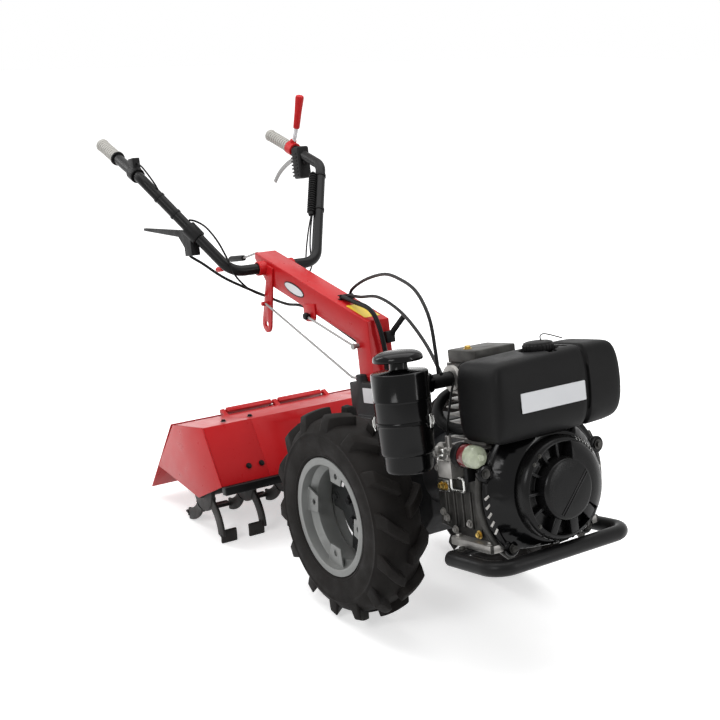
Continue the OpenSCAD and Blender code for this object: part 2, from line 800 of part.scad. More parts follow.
module handlebar() color("#18181a") on_floor() {
    ends = [for (side = [-1, 1]) bar_point(side, 2)
        - unit(bar_point(side, 2) - bar_point(side, 1)) * bar_end_set];
    tube([ends[0], bar_point(-1, 1), bar_point(-1, 0), bar_point(1, 0), bar_point(1, 1), ends[1]], bar_r,
        bar_bend_r);
}

module grip(side) {
    tip = bar_point(side, 2);
    along = unit(bar_point(side, 2) - bar_point(side, 1));
    difference() {
        rod(tip - along * grip_l, tip, grip_r);
        rod(tip - along * (grip_l + overrun), tip - along * grip_cap_t, bar_r + seat_gap);
    }
}
module grip_right() color("#d8d8d4") on_floor() grip(-1);
module grip_left() color("#d8d8d4") on_floor() grip(1);

// What is clamped around the handlebar between two points of its tube, with the tube's way cut out
bar_reach = 60;
module on_bar(a, b, r) {
    along = unit(b - a);
    difference() {
        union() {
            rod(a, b, r);
            children();
        }
        rod(a - along * bar_reach, b + along * bar_reach, bar_r + seat_gap);
    }
}

collar_r = 21;
lever_r = 7;
blade_t = 10;
perch_w = 26;
clutch_shares = [0.36, 0.48];
// The clutch lever from its pivot: along the machine, and up
blade_root = [-46, -54];
blade_bend = [-95, 4];
blade_tip = [-335, 30];
blade_bend_h = 20;
blade_tip_h = 8;
perch_drop = 62;
perch_back = 32;

module clutch_lever() color("#1d1d1f") on_floor() {
    a = bar_low(-1, clutch_shares[0]);
    b = bar_low(-1, clutch_shares[1]);
    pivot = (a + b) / 2;
    perch = pivot - [perch_back, 0, 0];
    on_bar(a, b, collar_r) {
        block(perch - [perch_w / 2, perch_w / 2, perch_drop], perch + [perch_back, perch_w / 2, 0]);
        plate([
            flat(pivot) + [0, blade_tip_h], flat(pivot) + blade_bend + [0, blade_bend_h / 2],
            flat(pivot) + blade_tip + [0, blade_tip_h / 2], flat(pivot) + blade_tip - [0, blade_tip_h / 2],
            flat(pivot) + blade_bend - [0, blade_bend_h / 2], flat(pivot) + blade_root,
                flat(pivot) - [0, blade_bend_h]
        ], pivot[1] - blade_t / 2, pivot[1] + blade_t / 2);
    }
}

throttle_shares = [0.08, 0.2];
throttle_l = 34;
throttle_w = 22;
throttle_h = 44;

module throttle_control() color("#202022") on_floor() {
    a = bar_high(-1, throttle_shares[0]);
    b = bar_high(-1, throttle_shares[1]);
    middle = (a + b) / 2;
    on_bar(a, b, collar_r)
        block(middle - [throttle_l / 2, throttle_w / 2, 0],
            middle + [throttle_l / 2, throttle_w / 2, throttle_h]);
}

switch_shares = [0.31, 0.47];
switch_l = 46;
switch_w = 40;
switch_drop = 78;
switch_rise = 20;
// The brake lever from the middle of its housing: along the machine, and up
brake_bend = [-84, -28];
brake_tip = [-180, -66];
brake_bend_share = 4;

module brake_lever() color("#b9bbb8") on_floor() {
    a = bar_high(1, switch_shares[0]);
    b = bar_high(1, switch_shares[1]);
    middle = (a + b) / 2;
    on_bar(a, b, collar_r) {
        block(middle - [switch_l / 2, switch_w / 2, switch_drop],
            middle + [switch_l / 2, switch_w / 2, switch_rise]);
        tube([middle - [0, 0, switch_drop / 3], middle + [brake_bend[0], 0, brake_bend[1]],
            middle + [brake_tip[0], 0, brake_tip[1]]], lever_r, lever_r * brake_bend_share);
    }
}

stop_shares = [0.5, 0.58];
stop_stem = [24, 46];
stop_tip = [82, 152];
stop_sleeve_r = 11;

module stop_lever() color("#b3161a") on_floor() {
    a = bar_high(1, stop_shares[0]);
    b = bar_high(1, stop_shares[1]);
    middle = (a + b) / 2;
    on_bar(a, b, collar_r) {
        rod(middle, middle + [stop_stem[0], 0, stop_stem[1]], lever_r);
        rod(middle + [stop_stem[0], 0, stop_stem[1]], middle + [stop_tip[0], 0, stop_tip[1]],
            stop_sleeve_r);
    }
}

arm_t = 6;
arm_top_w = 30;
arm_w = 50;
arm_y = -column_w / 2;
// The ends of the arm and its pin, counted from the bar's clamp
arm_top_step = [40, 2];
arm_low_step = [-16, -157];
arm_pin_step = [-1, -99];
arm_top = bar_clamp + arm_top_step;
arm_low = bar_clamp + arm_low_step;
arm_pin = bar_clamp + arm_pin_step;
arm_hole_r = 8;
arm_pin_r = 6;
arm_pin_l = 16;
arm_steps = 12;

module selector_arm() color("#a8171b") on_floor() {
    along = unit(arm_low - arm_top);
    across = [-along[1], along[0]];
    end = [for (i = [0 : arm_steps])
        arm_low + arm_w / 2 * (cos(i * 180 / arm_steps) * across + sin(i * 180 / arm_steps) * along)];
    difference() {
        plate(concat(end, [arm_top - across * arm_top_w / 2, arm_top + across * arm_top_w / 2]),
            arm_y - arm_t, arm_y);
        rod([arm_low[0], arm_y - arm_t - overrun, arm_low[1]], [arm_low[0], arm_y + overrun, arm_low[1]],
            arm_hole_r);
    }
    rod([arm_pin[0], arm_y - arm_t - arm_pin_l, arm_pin[1]], [arm_pin[0], arm_y - arm_t / 2, arm_pin[1]],
        arm_pin_r);
}

rod_r = 3;
rod_y = -16;
rod_bend_r = 18;
rod_set = column_t + rod_r + 2 * seat_gap;
drive_rod_set = 48;
gear_rod_back = 24;
rod_pitch = 18;
gear_rod_x = column_front_x - gear_rod_back;
drive_rod_x = gear_rod_x - rod_pitch;
selector_y = -tower_half + selector_w / 2;
selector_rod_z = tower_top + selector_h / 2;
link_y = arm_y - arm_t - arm_pin_l / 2;
// The rear ends of the two rods, counted from the top of the beam's end
gear_rod_step = [-104, -13];
drive_rod_step = [-252, -41];
gear_rod_end = beam_end_top + gear_rod_step;
drive_rod_end = beam_end_top + drive_rod_step;
handle_l = 88;
handle_r = 9;
knob_l = 40;
knob_r = 8;

// A point inside the column, a distance below the outside of its top
function beam_under(x, set) = [x, rod_y,
    knee_z + (column_front_x - x) * tan(beam_slope) - set / cos(beam_slope)];

module shift_rods() color("#c9ccce") on_floor() {
    gear_bend = beam_under(beam_end_top[0] - rod_bend_r, rod_set);
    tube([[gear_rod_x, rod_y, tower_top], beam_under(gear_rod_x, rod_set), gear_bend,
        [gear_rod_end[0], rod_y, gear_rod_end[1]]], rod_r, rod_bend_r);
    tube([[drive_rod_x, rod_y, tower_top], beam_under(drive_rod_x, drive_rod_set),
        beam_under(bar_x, drive_rod_set),
        [drive_rod_end[0], rod_y, drive_rod_end[1]]], rod_r, rod_bend_r);
    tube([[arm_pin[0] + arm_pin_r + rod_r, link_y, arm_pin[1]],
        [tower_front - tower_l, link_y, selector_rod_z],
        [selector_x - selector_l / 2, selector_y, selector_rod_z]], rod_r, rod_bend_r);
}

module shift_handles() color("#1d1d1f") on_floor() {
    rod([gear_rod_end[0], rod_y, gear_rod_end[1]], [gear_rod_end[0] - handle_l, rod_y, gear_rod_end[1]],
        handle_r);
    rod([drive_rod_end[0], rod_y, drive_rod_end[1]], [drive_rod_end[0] - knob_l, rod_y, drive_rod_end[1]],
        knob_r);
}

latch_z = 377;
latch_l = 20;
latch_w = 25;
latch_h = 28;
latch_handle = [34, 28, 48];

module column_latch() color("#1d1d1f") on_floor() {
    latch_y = column_w / 2 - latch_w;
    block([column_front_x, latch_y, latch_z - latch_h / 2],
        [column_front_x + latch_l, latch_y + latch_w, latch_z + latch_h / 2]);
    root = [column_front_x + latch_l / 2, latch_y + latch_w / 2, latch_z];
    rod(root, root + latch_handle, lever_r);
}

// Control cables, swept along smooth curves through the points of their routes
cable_r = 4;
cable_sides = 8;
cable_steps = 6;
function route_point(p, i) = p[max(0, min(len(p) - 1, i))];
function spline(a, b, c, d, t) = b + (c - a) * t / 2 + (a - 2.5 * b + 2 * c - d / 2) * t * t
    + (d - a + 3 * (b - c)) * t * t * t / 2;
function smooth(p, steps) = concat([for (i = [0 : len(p) - 2], k = [0 : steps - 1])
    spline(route_point(p, i - 1), p[i], p[i + 1], route_point(p, i + 2), k / steps)], [p[len(p) - 1]]);

module cable(route, r) {
    path = smooth(route, cable_steps);
    last = len(path) - 1;
    dirs = [for (i = [0 : last]) unit(path[min(i + 1, last)] - path[max(i - 1, 0)])];
    side = [for (d = dirs) unit(cross(d, [0, 1, 0]))];
    points = [for (i = [0 : last], k = [0 : cable_sides - 1])
        path[i] + r * (cos(k * 360 / cable_sides) * side[i] + sin(k * 360 / cable_sides)
            * cross(dirs[i], side[i]))];
    faces = concat(
        [[for (k = [0 : cable_sides - 1]) k]],
        [for (i = [0 : last - 1], k = [0 : cable_sides - 1]) [
            i * cable_sides + k, (i + 1) * cable_sides + k,
            (i + 1) * cable_sides + (k + 1) % cable_sides, i * cable_sides + (k + 1) % cable_sides
        ]],
        [[for (k = [cable_sides - 1 : -1 : 0]) last * cable_sides + k]]
    );
    polyhedron(points, faces);
}

// A route from a to b: points at shares of the way, raised by shares of its rise
// and moved aside by shares of its sway
function arched(a, b, rise, sway, shares) = concat([a], [for (share = shares)
    a + (b - a) * share[0] + [0, sway * share[2], rise * share[1]]], [b]);
clip_back = 150;
clip_x = column_front_x - clip_back;
clip_gap = 10;
clip = [clip_x, 2 * clip_gap, beam_under(clip_x, -cable_r)[2]];
loop_end_set = 34;
loop_end = [cleaner_x + loop_end_set, cleaner_y + cleaner_r + intake_boss_l, intake_z + intake_r + cable_r];
loop_rise = 146;
loop_shares = [
    [0.06, 0.2, 0], [0.226, 0.53, 0.4], [0.47, 0.87, 0.6], [0.673, 0.99, 0.5],
    [0.82, 1, 0.35], [0.915, 0.88, 0.2], [0.968, 0.68, 0.1], [0.992, 0.36, 0]
];
low_loop_rise = 62;
low_loop_shares = [[0.06, 0.2, 0], [0.18, 0.45, 0.2], [0.38, 0.95, 0.5], [0.62, 1, 0.6], [0.84, 0.6, 0.4]];
loop_sway = 20;
bundle_r = 6;
// Points of the thick bundle, counted from the column's knee
bundle_run = [[-85, -8, 46], [-14, -12, 28], [15, -10, -10], [17, 0, -80]];
bundle_end = [column_front_x + bundle_r * 2, 0, tower_top + foot_t + seat_gap];
// Points of the clutch cable, counted from the foot of its perch and then from the arm's pin
clutch_run = [[18, 22, -21], [56, 74, -73]];
clutch_pass = [[-22, 20, 12], [60, 24, -6], [190, 22, -22]];
clutch_end = [column_rear_x - cable_r / 2, -rod_y / 2, inner_knee[1] - beam_h / 2];

module control_cables() color("#151516") on_floor() {
    perch = (bar_low(-1, clutch_shares[0]) + bar_low(-1, clutch_shares[1])) / 2;
    perch_foot = perch - [perch_back, 0, perch_drop + cable_r];
    pin = [arm_pin[0], arm_y, arm_pin[1]];
    cable(arched(clip, loop_end, loop_rise, loop_sway, loop_shares), cable_r);
    cable(arched(clip - [0, clip_gap, 0], loop_end + [clip_gap, 0, 0], low_loop_rise, loop_sway,
        low_loop_shares),
        cable_r);
    cable(concat([clip - [0, 2 * clip_gap + bundle_r, cable_r - bundle_r]],
        [for (step = bundle_run) [knee[0], 0, knee[1]] + step], [bundle_end]), bundle_r);
    cable(concat([perch_foot], [for (step = clutch_run) perch_foot + step],
        [for (step = clutch_pass) pin + step], [clutch_end]), cable_r);
}

// Rear tiller
pto_flange_r = 65;
pto_flange_t = 16;
neck_r = 45;
case_half = 38;
case_top_x = -470;
case_top_z = 80;
case_top_r = 55;
case_low_r = 50;
rotor_shaft_r = 20;
web_set = 3;
web_share = 0.88;
hood_low_z = pto_z - neck_r - seat_gap;
hood_front_fall = 0.507;
hood_b = [-503, 179];
hood_a = [hood_b[0] + (hood_b[1] - hood_low_z) * hood_front_fall, hood_low_z];
hood_c = [-694, 172];
hood_d = [-833, 43];
hood_e = [-581, -18];
hinge = [-710, 180];
hinge_pin_r = 4;
hinge_barrel_r = 7;
hinge_lug_w = 12;
notch_set = 12;
notch_half = neck_r + notch_set;

module tiller_case() color("#1d1e20") on_floor() {
    difference() {
        union() {
            rod([gearbox_rear - pto_flange_t, 0, pto_z], [gearbox_rear, 0, pto_z], pto_flange_r);
            rod([case_top_x, 0, pto_z], [gearbox_rear - pto_flange_t / 2, 0, pto_z], neck_r);
            rod([case_top_x, -case_half, case_top_z], [case_top_x, case_half, case_top_z], case_top_r);
            rod([rotor_x, -case_half, rotor_z], [rotor_x, case_half, rotor_z], case_low_r);
            plate(case_web(), web_set - case_half, case_half - web_set);
        }
        rod([rotor_x, -case_half - overrun, rotor_z], [rotor_x, case_half + overrun, rotor_z],
            rotor_shaft_r + shaft_gap);
    }
}
function case_web() =
    let (along = unit([rotor_x - case_top_x, rotor_z - case_top_z]), across = [-along[1], along[0]])
    [[case_top_x, case_top_z] + across * case_top_r * web_share,
        [rotor_x, rotor_z] + across * case_low_r * web_share,
        [rotor_x, rotor_z] - across * case_low_r * web_share,
            [case_top_x, case_top_z] - across * case_top_r * web_share];

// The hood's bent sheet, a set distance inside the outline of its end plates
hood_set = 0.5;
hood_front_in = unit([hood_a[1] - hood_b[1], hood_b[0] - hood_a[0]]);
hood_top_in = unit([hood_b[1] - hood_c[1], hood_c[0] - hood_b[0]]);
function hood_line(inset) = [
    hood_a + [inset / hood_front_in[0], 0],
    hood_b + (hood_front_in + hood_top_in) * inset / (1 + hood_front_in * hood_top_in),
    hood_c + hood_top_in * inset
];
function reversed(points) = [for (i = [len(points) - 1 : -1 : 0]) points[i]];
hood_out = hood_line(hood_set);
hood_in = hood_line(hood_set + sheet_t);

module hood_front() color("#a3151a") on_floor()
    difference() {
        plate([hood_out[0], hood_out[1], hood_in[1], hood_in[0]], -hood_half_w, hood_half_w);
        block([hood_b[0], -notch_half, hood_low_z - overrun],
            [hood_a[0] + overrun, notch_half, case_top_z + case_top_r + run_gap]);
    }

hinge_half = hood_half_w - hinge_lug_w;

module hood_top() color("#b8171c") on_floor() {
    plate([hood_out[1], hood_out[2], hood_in[2], hood_in[1]], -hood_half_w, hood_half_w);
    rod([hinge[0], -hinge_half, hinge[1]], [hinge[0], hinge_half, hinge[1]], hinge_pin_r);
    for (y = [-hinge_half, -hinge_lug_w / 2, hinge_half - hinge_lug_w]) {
        rod([hinge[0], y, hinge[1]], [hinge[0], y + hinge_lug_w, hinge[1]], hinge_barrel_r);
        plate([
            [hinge[0], hinge[1] + hinge_barrel_r], [hinge[0], hinge[1] - hinge_barrel_r],
            hood_c + [sheet_t, -sheet_t], hood_c + [4 * sheet_t, -hood_set]
        ], y, y + hinge_lug_w);
    }
}

module hood_side(side) {
    mirror([0, side > 0 ? 1 : 0, 0]) {
        plate([hood_a, hood_b, hood_c, hood_d, hood_e], -tiller_half_w, sheet_t - tiller_half_w);
        plate(concat(hood_out, reversed(hood_in)), sheet_t / 2 - tiller_half_w, -hood_half_w - seat_gap);
    }
}
module hood_side_right() color("#b8171c") on_floor() hood_side(-1);
module hood_side_left() color("#b8171c") on_floor() hood_side(1);

beam_t = 22;
beam_half_w = tiller_half_w - sheet_t - seat_gap;

module tiller_beam() color("#1a1a1b") on_floor()
    block([hood_a[0] - sheet_t * 2, -beam_half_w, hood_low_z - beam_t],
        [hood_a[0] - sheet_t * 2 + beam_t, beam_half_w, hood_low_z]);

flap_set = 6;
flap_half_w = tiller_half_w - flap_set;
flap_fall = 45;
flap_barrel_in = hinge_lug_w / 2 + run_gap;
flap_barrel_out = hinge_half - hinge_lug_w - run_gap;

module rear_flap() color("#b8171c") on_floor() {
    difference() {
        union() {
            translate([hinge[0], 0, hinge[1]])
                rotate([0, flap_fall - 180, 0])
                    translate([-sheet_t / 2, -flap_half_w, hinge_barrel_r + run_gap])
                        cube([sheet_t, 2 * flap_half_w, flap_l - hinge_barrel_r - run_gap]);
            for (y = [-flap_barrel_out, flap_barrel_in])
                translate([hinge[0], 0, hinge[1]])
                    rotate([0, flap_fall - 180, 0]) {
                        translate([-hinge_barrel_r, y, -hinge_barrel_r])
                            cube([2 * hinge_barrel_r, flap_barrel_out - flap_barrel_in,
                                2 * hinge_barrel_r]);
                        translate([-sheet_t, y + sheet_t, 0])
                            cube([2 * sheet_t, flap_barrel_out - flap_barrel_in - 2 * sheet_t,
                                4 * hinge_barrel_r]);
                    }
        }
        rod([hinge[0], -hinge_half - overrun, hinge[1]], [hinge[0], hinge_half + overrun, hinge[1]],
            hinge_pin_r + shaft_gap);
    }
}

rotor_gap_share = 1.5;
rotor_half = tiller_half_w - sheet_t - run_gap * rotor_gap_share;
rotor_flange_r = 58;
rotor_flange_t = 12;
tine_set = 1;
rotor_stations = [0.175, 0.55, 0.94];

module at_rotor() {
    on_floor()
        translate([rotor_x, 0, rotor_z])
            rotate([0, park_tilt, 0])
                rotate([-90, 0, 0])
                    children();
}

module tine(foot) {
    translate([tine_root_r, tine_curve_r, 0])
        rotate(-90) {
            rotate_extrude(angle = tine_web_sweep, $fn = 96)
                translate([tine_curve_r - tine_w / 2, 0])
                    square([tine_w, tine_t]);
            rotate(tine_foot_start)
                rotate_extrude(angle = tine_sweep - tine_foot_start, $fn = 96)
                    translate([tine_curve_r - tine_t / 2, foot > 0 ? tine_set : tine_t - tine_foot_w])
                        square([tine_t, tine_foot_w - tine_set]);
        }
}

module tine_rotor() color("#202022") at_rotor() {
    translate([0, 0, -rotor_half])
        cylinder(r = rotor_shaft_r, h = 2 * rotor_half, $fn = 64);
    for (side = [-1, 1])
        for (i = [0 : len(rotor_stations) - 1]) {
            z = side * rotor_half * rotor_stations[i] - rotor_flange_t / 2;
            translate([0, 0, z])
                cylinder(r = rotor_flange_r, h = rotor_flange_t, $fn = 64);
            for (k = [0 : tine_n - 1])
                translate([0, 0, z + (rotor_flange_t - tine_t) / 2])
                    rotate(tine_phase + k * tine_pitch)
                        tine(i == len(rotor_stations) - 1 ? -side : side);
        }
}

tyre_right();
tyre_left();
rim_right();
rim_left();
disc_right();
disc_left();
hub_right();
hub_left();
gearbox();
clutch_housing();
crankcase();
cylinder_block();  // cylinder
rocker_cover();
flywheel_shroud();
recoil_starter();
fuel_tank();
fuel_cap();
air_cleaner();
air_cleaner_bowl();
air_cleaner_cap();
intake_pipe();
muffler();
injection_pump();
fuel_filter();
front_bumper();
column();
handlebar();
grip_right();
grip_left();
clutch_lever();
throttle_control();
brake_lever();
stop_lever();
selector_arm();
shift_rods();
shift_handles();
column_latch();
control_cables();
tiller_case();
hood_front();
hood_top();
hood_side_right();
hood_side_left();
tiller_beam();
rear_flap();
tine_rotor();
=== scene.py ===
"""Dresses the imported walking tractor: rubber, paint, castings, cables and soft studio light."""

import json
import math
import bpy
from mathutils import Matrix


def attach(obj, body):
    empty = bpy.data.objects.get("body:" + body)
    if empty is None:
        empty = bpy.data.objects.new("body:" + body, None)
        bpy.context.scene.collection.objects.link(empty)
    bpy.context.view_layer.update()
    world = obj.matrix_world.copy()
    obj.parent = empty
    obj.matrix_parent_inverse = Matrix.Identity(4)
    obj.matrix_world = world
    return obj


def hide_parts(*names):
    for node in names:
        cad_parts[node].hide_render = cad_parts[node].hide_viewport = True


bl_info = {
    "name": "Walking tractor looks",
    "version": (1, 0, 0),
    "blender": (4, 5, 0),
    "location": "View3D > Sidebar > Tractor",
    "description": "Dresses the packed walking tractor with rubber, paint, castings, cables and studio light",
    "category": "Object",
}

import bmesh
import bpy
from bpy.props import FloatProperty, FloatVectorProperty, IntProperty, PointerProperty
from mathutils import Matrix, Vector

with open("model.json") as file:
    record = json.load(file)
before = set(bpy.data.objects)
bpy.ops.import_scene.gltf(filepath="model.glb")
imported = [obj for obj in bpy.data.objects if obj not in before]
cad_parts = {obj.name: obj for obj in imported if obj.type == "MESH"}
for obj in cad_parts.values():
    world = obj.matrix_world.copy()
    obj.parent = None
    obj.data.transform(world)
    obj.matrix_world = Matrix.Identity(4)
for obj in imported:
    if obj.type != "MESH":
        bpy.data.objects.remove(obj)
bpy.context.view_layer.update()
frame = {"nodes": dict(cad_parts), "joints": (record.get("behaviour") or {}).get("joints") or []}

# The chassis stands tilted on its tines: the axle and the rotor's shaft give the tilt.
JOINTS = {joint["name"]: Vector(joint["pos_m"]) for joint in frame["joints"]}
AXLE = JOINTS["wheel_right_turn"]
ROTOR = JOINTS["rotor_turn"]
ROTOR_FROM_AXLE = Vector((-0.610, 0, -0.007))
SHAFT_RUN = ROTOR - AXLE
TILT = math.atan2(SHAFT_RUN.z, SHAFT_RUN.x) - math.atan2(ROTOR_FROM_AXLE.z, ROTOR_FROM_AXLE.x)
MM = Matrix.Scale(0.001, 4)
CHASSIS = Matrix.Translation(AXLE) @ Matrix.Rotation(-TILT, 4, "Y") @ MM
HALF_TRACK = 0.215
WHEEL = {
    side: Matrix.Translation((AXLE.x, side * HALF_TRACK, AXLE.z))
    @ Matrix.Rotation(math.radians(-90 * side), 4, "X") @ MM
    for side in (-1, 1)
}
SIDES = {-1: "right", 1: "left"}
UP, AHEAD, BACK, RIGHT, LEFT = (0, 0, 1), (1, 0, 0), (-1, 0, 0), (0, -1, 0), (0, 1, 0)


# Settings

class TractorSizes(bpy.types.PropertyGroup):
    """Sizes of the pieces that are modelled here"""

    lug_count: IntProperty(
        name="Lugs a side", description="Tread lugs on each half of a tyre", default=14, min=8, max=24)
    lug_width: FloatProperty(
        name="Lug width", description="Width of a tread lug in millimetres", default=25.0, min=15.0, max=40.0)
    edge_round: FloatProperty(
        name="Edge rounding", description="Rounding of cast and folded edges in millimetres",
        default=1.6, min=0.3, max=4.0)
    tank_round: FloatProperty(
        name="Tank rounding", description="Rounding of the fuel tank's edges in millimetres",
        default=36.0, min=15.0, max=45.0)
    cable_radius: FloatProperty(
        name="Cable radius", description="Radius of a control cable in millimetres", default=4.0, min=2.0, max=6.0)


def colour(name, description, default):
    return FloatVectorProperty(name=name, description=description, subtype="COLOR", default=default, min=0, max=1)


class TractorColours(bpy.types.PropertyGroup):
    """Colours of the finishes"""

    red_paint: colour("Red paint", "Column and tiller hood", (0.47, 0.009, 0.012))
    tank_black: colour("Tank", "Moulded fuel tank", (0.0045, 0.0045, 0.0047))
    cover_black: colour("Engine covers", "Glossy flywheel cover and air cleaner", (0.0024, 0.0024, 0.0026))
    tube_black: colour("Tubes", "Handlebar and bumper", (0.0045, 0.0045, 0.0048))
    rubber: colour("Tyre rubber", "Tyres", (0.0085, 0.0075, 0.0070))
    rim_silver: colour("Rims", "Painted wheel rims", (0.20, 0.205, 0.20))
    casting: colour("Engine castings", "Bare aluminium castings", (0.33, 0.32, 0.305))
    iron: colour("Iron", "Gearbox and clutch housing", (0.012, 0.0125, 0.0135))
    grip: colour("Grips", "Pale hand grips", (0.33, 0.32, 0.295))
    yellow: colour("Sticker", "Blank sticker on the column", (0.78, 0.55, 0.02))


class TractorStage(bpy.types.PropertyGroup):
    """Camera and light"""

    camera_lens: FloatProperty(
        name="Lens", description="Focal length in millimetres", default=58.69, min=20, max=200)
    camera_place: FloatVectorProperty(
        name="Camera", description="Place of the camera", subtype="TRANSLATION", unit="LENGTH",
        default=(2.4806, -1.589, 1.352))
    camera_yaw: FloatProperty(
        name="Camera yaw", description="Heading of the camera", subtype="ANGLE", default=math.radians(146.5))
    camera_pitch: FloatProperty(
        name="Camera pitch", description="Tilt of the camera", subtype="ANGLE", default=math.radians(-16.18))
    light_level: FloatProperty(
        name="Light level", description="Strength of all lamps", default=1.0, min=0.1, max=4.0)


# Hand work: selection, starting shapes and finishing steps. Sizes are in millimetres until a piece is placed.

def clear_selection():
    if bpy.context.mode != "OBJECT":
        bpy.ops.object.mode_set(mode="OBJECT")
    bpy.ops.object.select_all(action="DESELECT")


def pick(*objects):
    clear_selection()
    for obj in objects:
        obj.select_set(True)
    bpy.context.view_layer.objects.active = objects[0]
    return objects[0]


def edit(obj, kind="VERT"):
    pick(obj)
    bpy.ops.object.mode_set(mode="EDIT")
    bpy.ops.mesh.select_mode(type=kind)


def choose(obj, test, kind="FACE"):
    """Selects the faces, edges or vertices of the mesh in edit mode that pass a test."""
    bpy.ops.mesh.select_mode(type=kind)
    bpy.ops.mesh.select_all(action="DESELECT")
    mesh = bmesh.from_edit_mesh(obj.data)
    for item in {"FACE": mesh.faces, "EDGE": mesh.edges, "VERT": mesh.verts}[kind]:
        if test(item):
            item.select_set(True)
    mesh.select_flush_mode()
    bmesh.update_edit_mesh(obj.data)


def take_all():
    bpy.ops.mesh.select_all(action="SELECT")


def face_out():
    take_all()
    bpy.ops.mesh.normals_make_consistent(inside=False)


def merge_all(gap):
    """Merges the points of the mesh in edit mode that lie within a gap, and turns its faces outwards."""
    take_all()
    bpy.ops.mesh.remove_doubles(threshold=gap)
    bpy.ops.mesh.normals_make_consistent(inside=False)


def done(obj):
    bpy.ops.object.mode_set(mode="OBJECT")
    return obj


def settle():
    bpy.ops.object.transform_apply(location=True, rotation=True, scale=True)
    return bpy.context.object


def block(low, high):
    clear_selection()
    middle = [(a + b) / 2 for a, b in zip(low, high)]
    bpy.ops.mesh.primitive_cube_add(size=1, location=middle, scale=[b - a for a, b in zip(low, high)])
    return settle()


def post(a, b, radius, sides=32):
    clear_selection()
    a, b = Vector(a), Vector(b)
    run = b - a
    bpy.ops.mesh.primitive_cylinder_add(
        vertices=sides, radius=radius, depth=run.length, location=(a + b) / 2,
        rotation=run.to_track_quat("Z", "Y").to_euler())
    return settle()


def wire_outline(points):
    """An open line of edges through points, drawn by extruding one vertex; it stays in edit mode."""
    clear_selection()
    bpy.ops.mesh.primitive_plane_add(size=1, location=points[0])
    obj = settle()
    edit(obj)
    take_all()
    bpy.ops.mesh.merge(type="CENTER")
    for a, b in zip(points, points[1:]):
        bpy.ops.mesh.extrude_vertices_move(
            TRANSFORM_OT_translate={"value": [q - p for p, q in zip(a, b)]})
    return obj


def turned(outline, steps=64, angle=360):
    """Spins an outline of [radius, height] points about Z."""
    obj = wire_outline([(r, 0, z) for r, z in outline])
    take_all()
    bpy.ops.mesh.spin(steps=steps, angle=math.radians(angle), center=(0, 0, 0), axis=UP)
    merge_all(0.01)
    return done(obj)


def sleeve_ring(inner, outer, low, high, steps=32):
    """A plain ring about Z."""
    return turned([(inner, low), (outer, low), (outer, high), (inner, high), (inner, low)], steps)


def spun(degrees, axis="Z"):
    return Matrix.Rotation(math.radians(degrees), 4, axis)


def aimed(origin, direction):
    """A matrix that stands a piece drawn about Z on a point, along a direction."""
    return Matrix.Translation(Vector(origin)) @ Vector(direction).to_track_quat("Z", "Y").to_matrix().to_4x4()


def moved(obj, matrix):
    pick(obj)
    obj.matrix_world = matrix @ obj.matrix_world
    return settle()


def rounded(obj, width, segments=2, angle=40):
    """Rounds the edges that are sharper than an angle."""
    pick(obj)
    bpy.ops.object.modifier_add(type="BEVEL")
    bevel = obj.modifiers[-1]
    bevel.width = width
    bevel.segments = segments
    bevel.limit_method = "ANGLE"
    bevel.angle_limit = math.radians(angle)
    bevel.use_clamp_overlap = False
    bpy.ops.object.modifier_apply(modifier=bevel.name)
    return obj


def soft_block(low, high, width, segments=2):
    return rounded(block(low, high), width, segments)


def soft_plate(low, high, axis, offset, segments=3, below=math.inf):
    """A block whose edges along one axis are rounded, or only those of them that lie below a height."""
    obj = block(low, high)
    edit(obj, "EDGE")
    choose(obj, lambda e: abs(e.verts[0].co[axis] - e.verts[1].co[axis]) > 0.5 and e.verts[0].co.z < below, "EDGE")
    bpy.ops.mesh.bevel(offset=offset, segments=segments)
    return done(obj)


def carved(obj, cutter):
    """Cuts one closed shape out of another."""
    pick(obj)
    bpy.ops.object.modifier_add(type="BOOLEAN")
    cut = obj.modifiers[-1]
    cut.operation = "DIFFERENCE"
    cut.solver = "EXACT"
    cut.object = cutter
    bpy.ops.object.modifier_apply(modifier=cut.name)
    bpy.data.objects.remove(cutter)
    return obj


def turn_step(face, steps):
    """Which of the steps around Z a face lies in."""
    middle = face.calc_center_median()
    return int((math.atan2(middle.y, middle.x) + math.pi) / math.tau * steps)


def arc_piece(outline, start, sweep, steps):
    """A closed [radius, height] outline spun on from a start angle, with its ends closed."""
    obj = turned(outline + outline[:1], steps, sweep)
    edit(obj)
    take_all()
    bpy.ops.mesh.fill_holes(sides=0)
    face_out()
    done(obj)
    # without a window the spin runs backwards, so the end of the arc is where it starts
    return moved(obj, spun(start + sweep))


def copied(obj):
    pick(obj)
    bpy.ops.object.duplicate(linked=False)
    return bpy.context.object


def joined(*objects):
    if len(objects) > 1:
        pick(*objects)
        bpy.ops.object.join()
    return objects[0]


def copies(obj, places):
    """Copies of one modelled piece, each at its own place, joined into one object."""
    made = [moved(copied(obj), place) for place in places[1:]]
    return joined(moved(obj, places[0]), *made)


def curve_line(name, points, radius, resolution, cyclic=False):
    """A round wire through points, as a curve of one spline."""
    data = bpy.data.curves.new(name, "CURVE")
    data.dimensions = "3D"
    data.bevel_depth = radius
    data.bevel_resolution = resolution
    data.use_fill_caps = True
    spline = data.splines.new("POLY")
    spline.points.add(len(points) - 1)
    for point, place in zip(spline.points, points):
        point.co = (*place, 1)
    spline.use_cyclic_u = cyclic
    obj = bpy.data.objects.new(name, data)
    bpy.context.scene.collection.objects.link(obj)
    return obj


def curve_tube(points, radius, sides=8, cyclic=False):
    """A wire bent through points, made a mesh."""
    clear_selection()
    pick(curve_line("wire", points, radius, max(1, sides // 4), cyclic))
    bpy.ops.object.convert(target="MESH")
    obj = bpy.context.object
    edit(obj)
    merge_all(0.001)
    return done(obj)


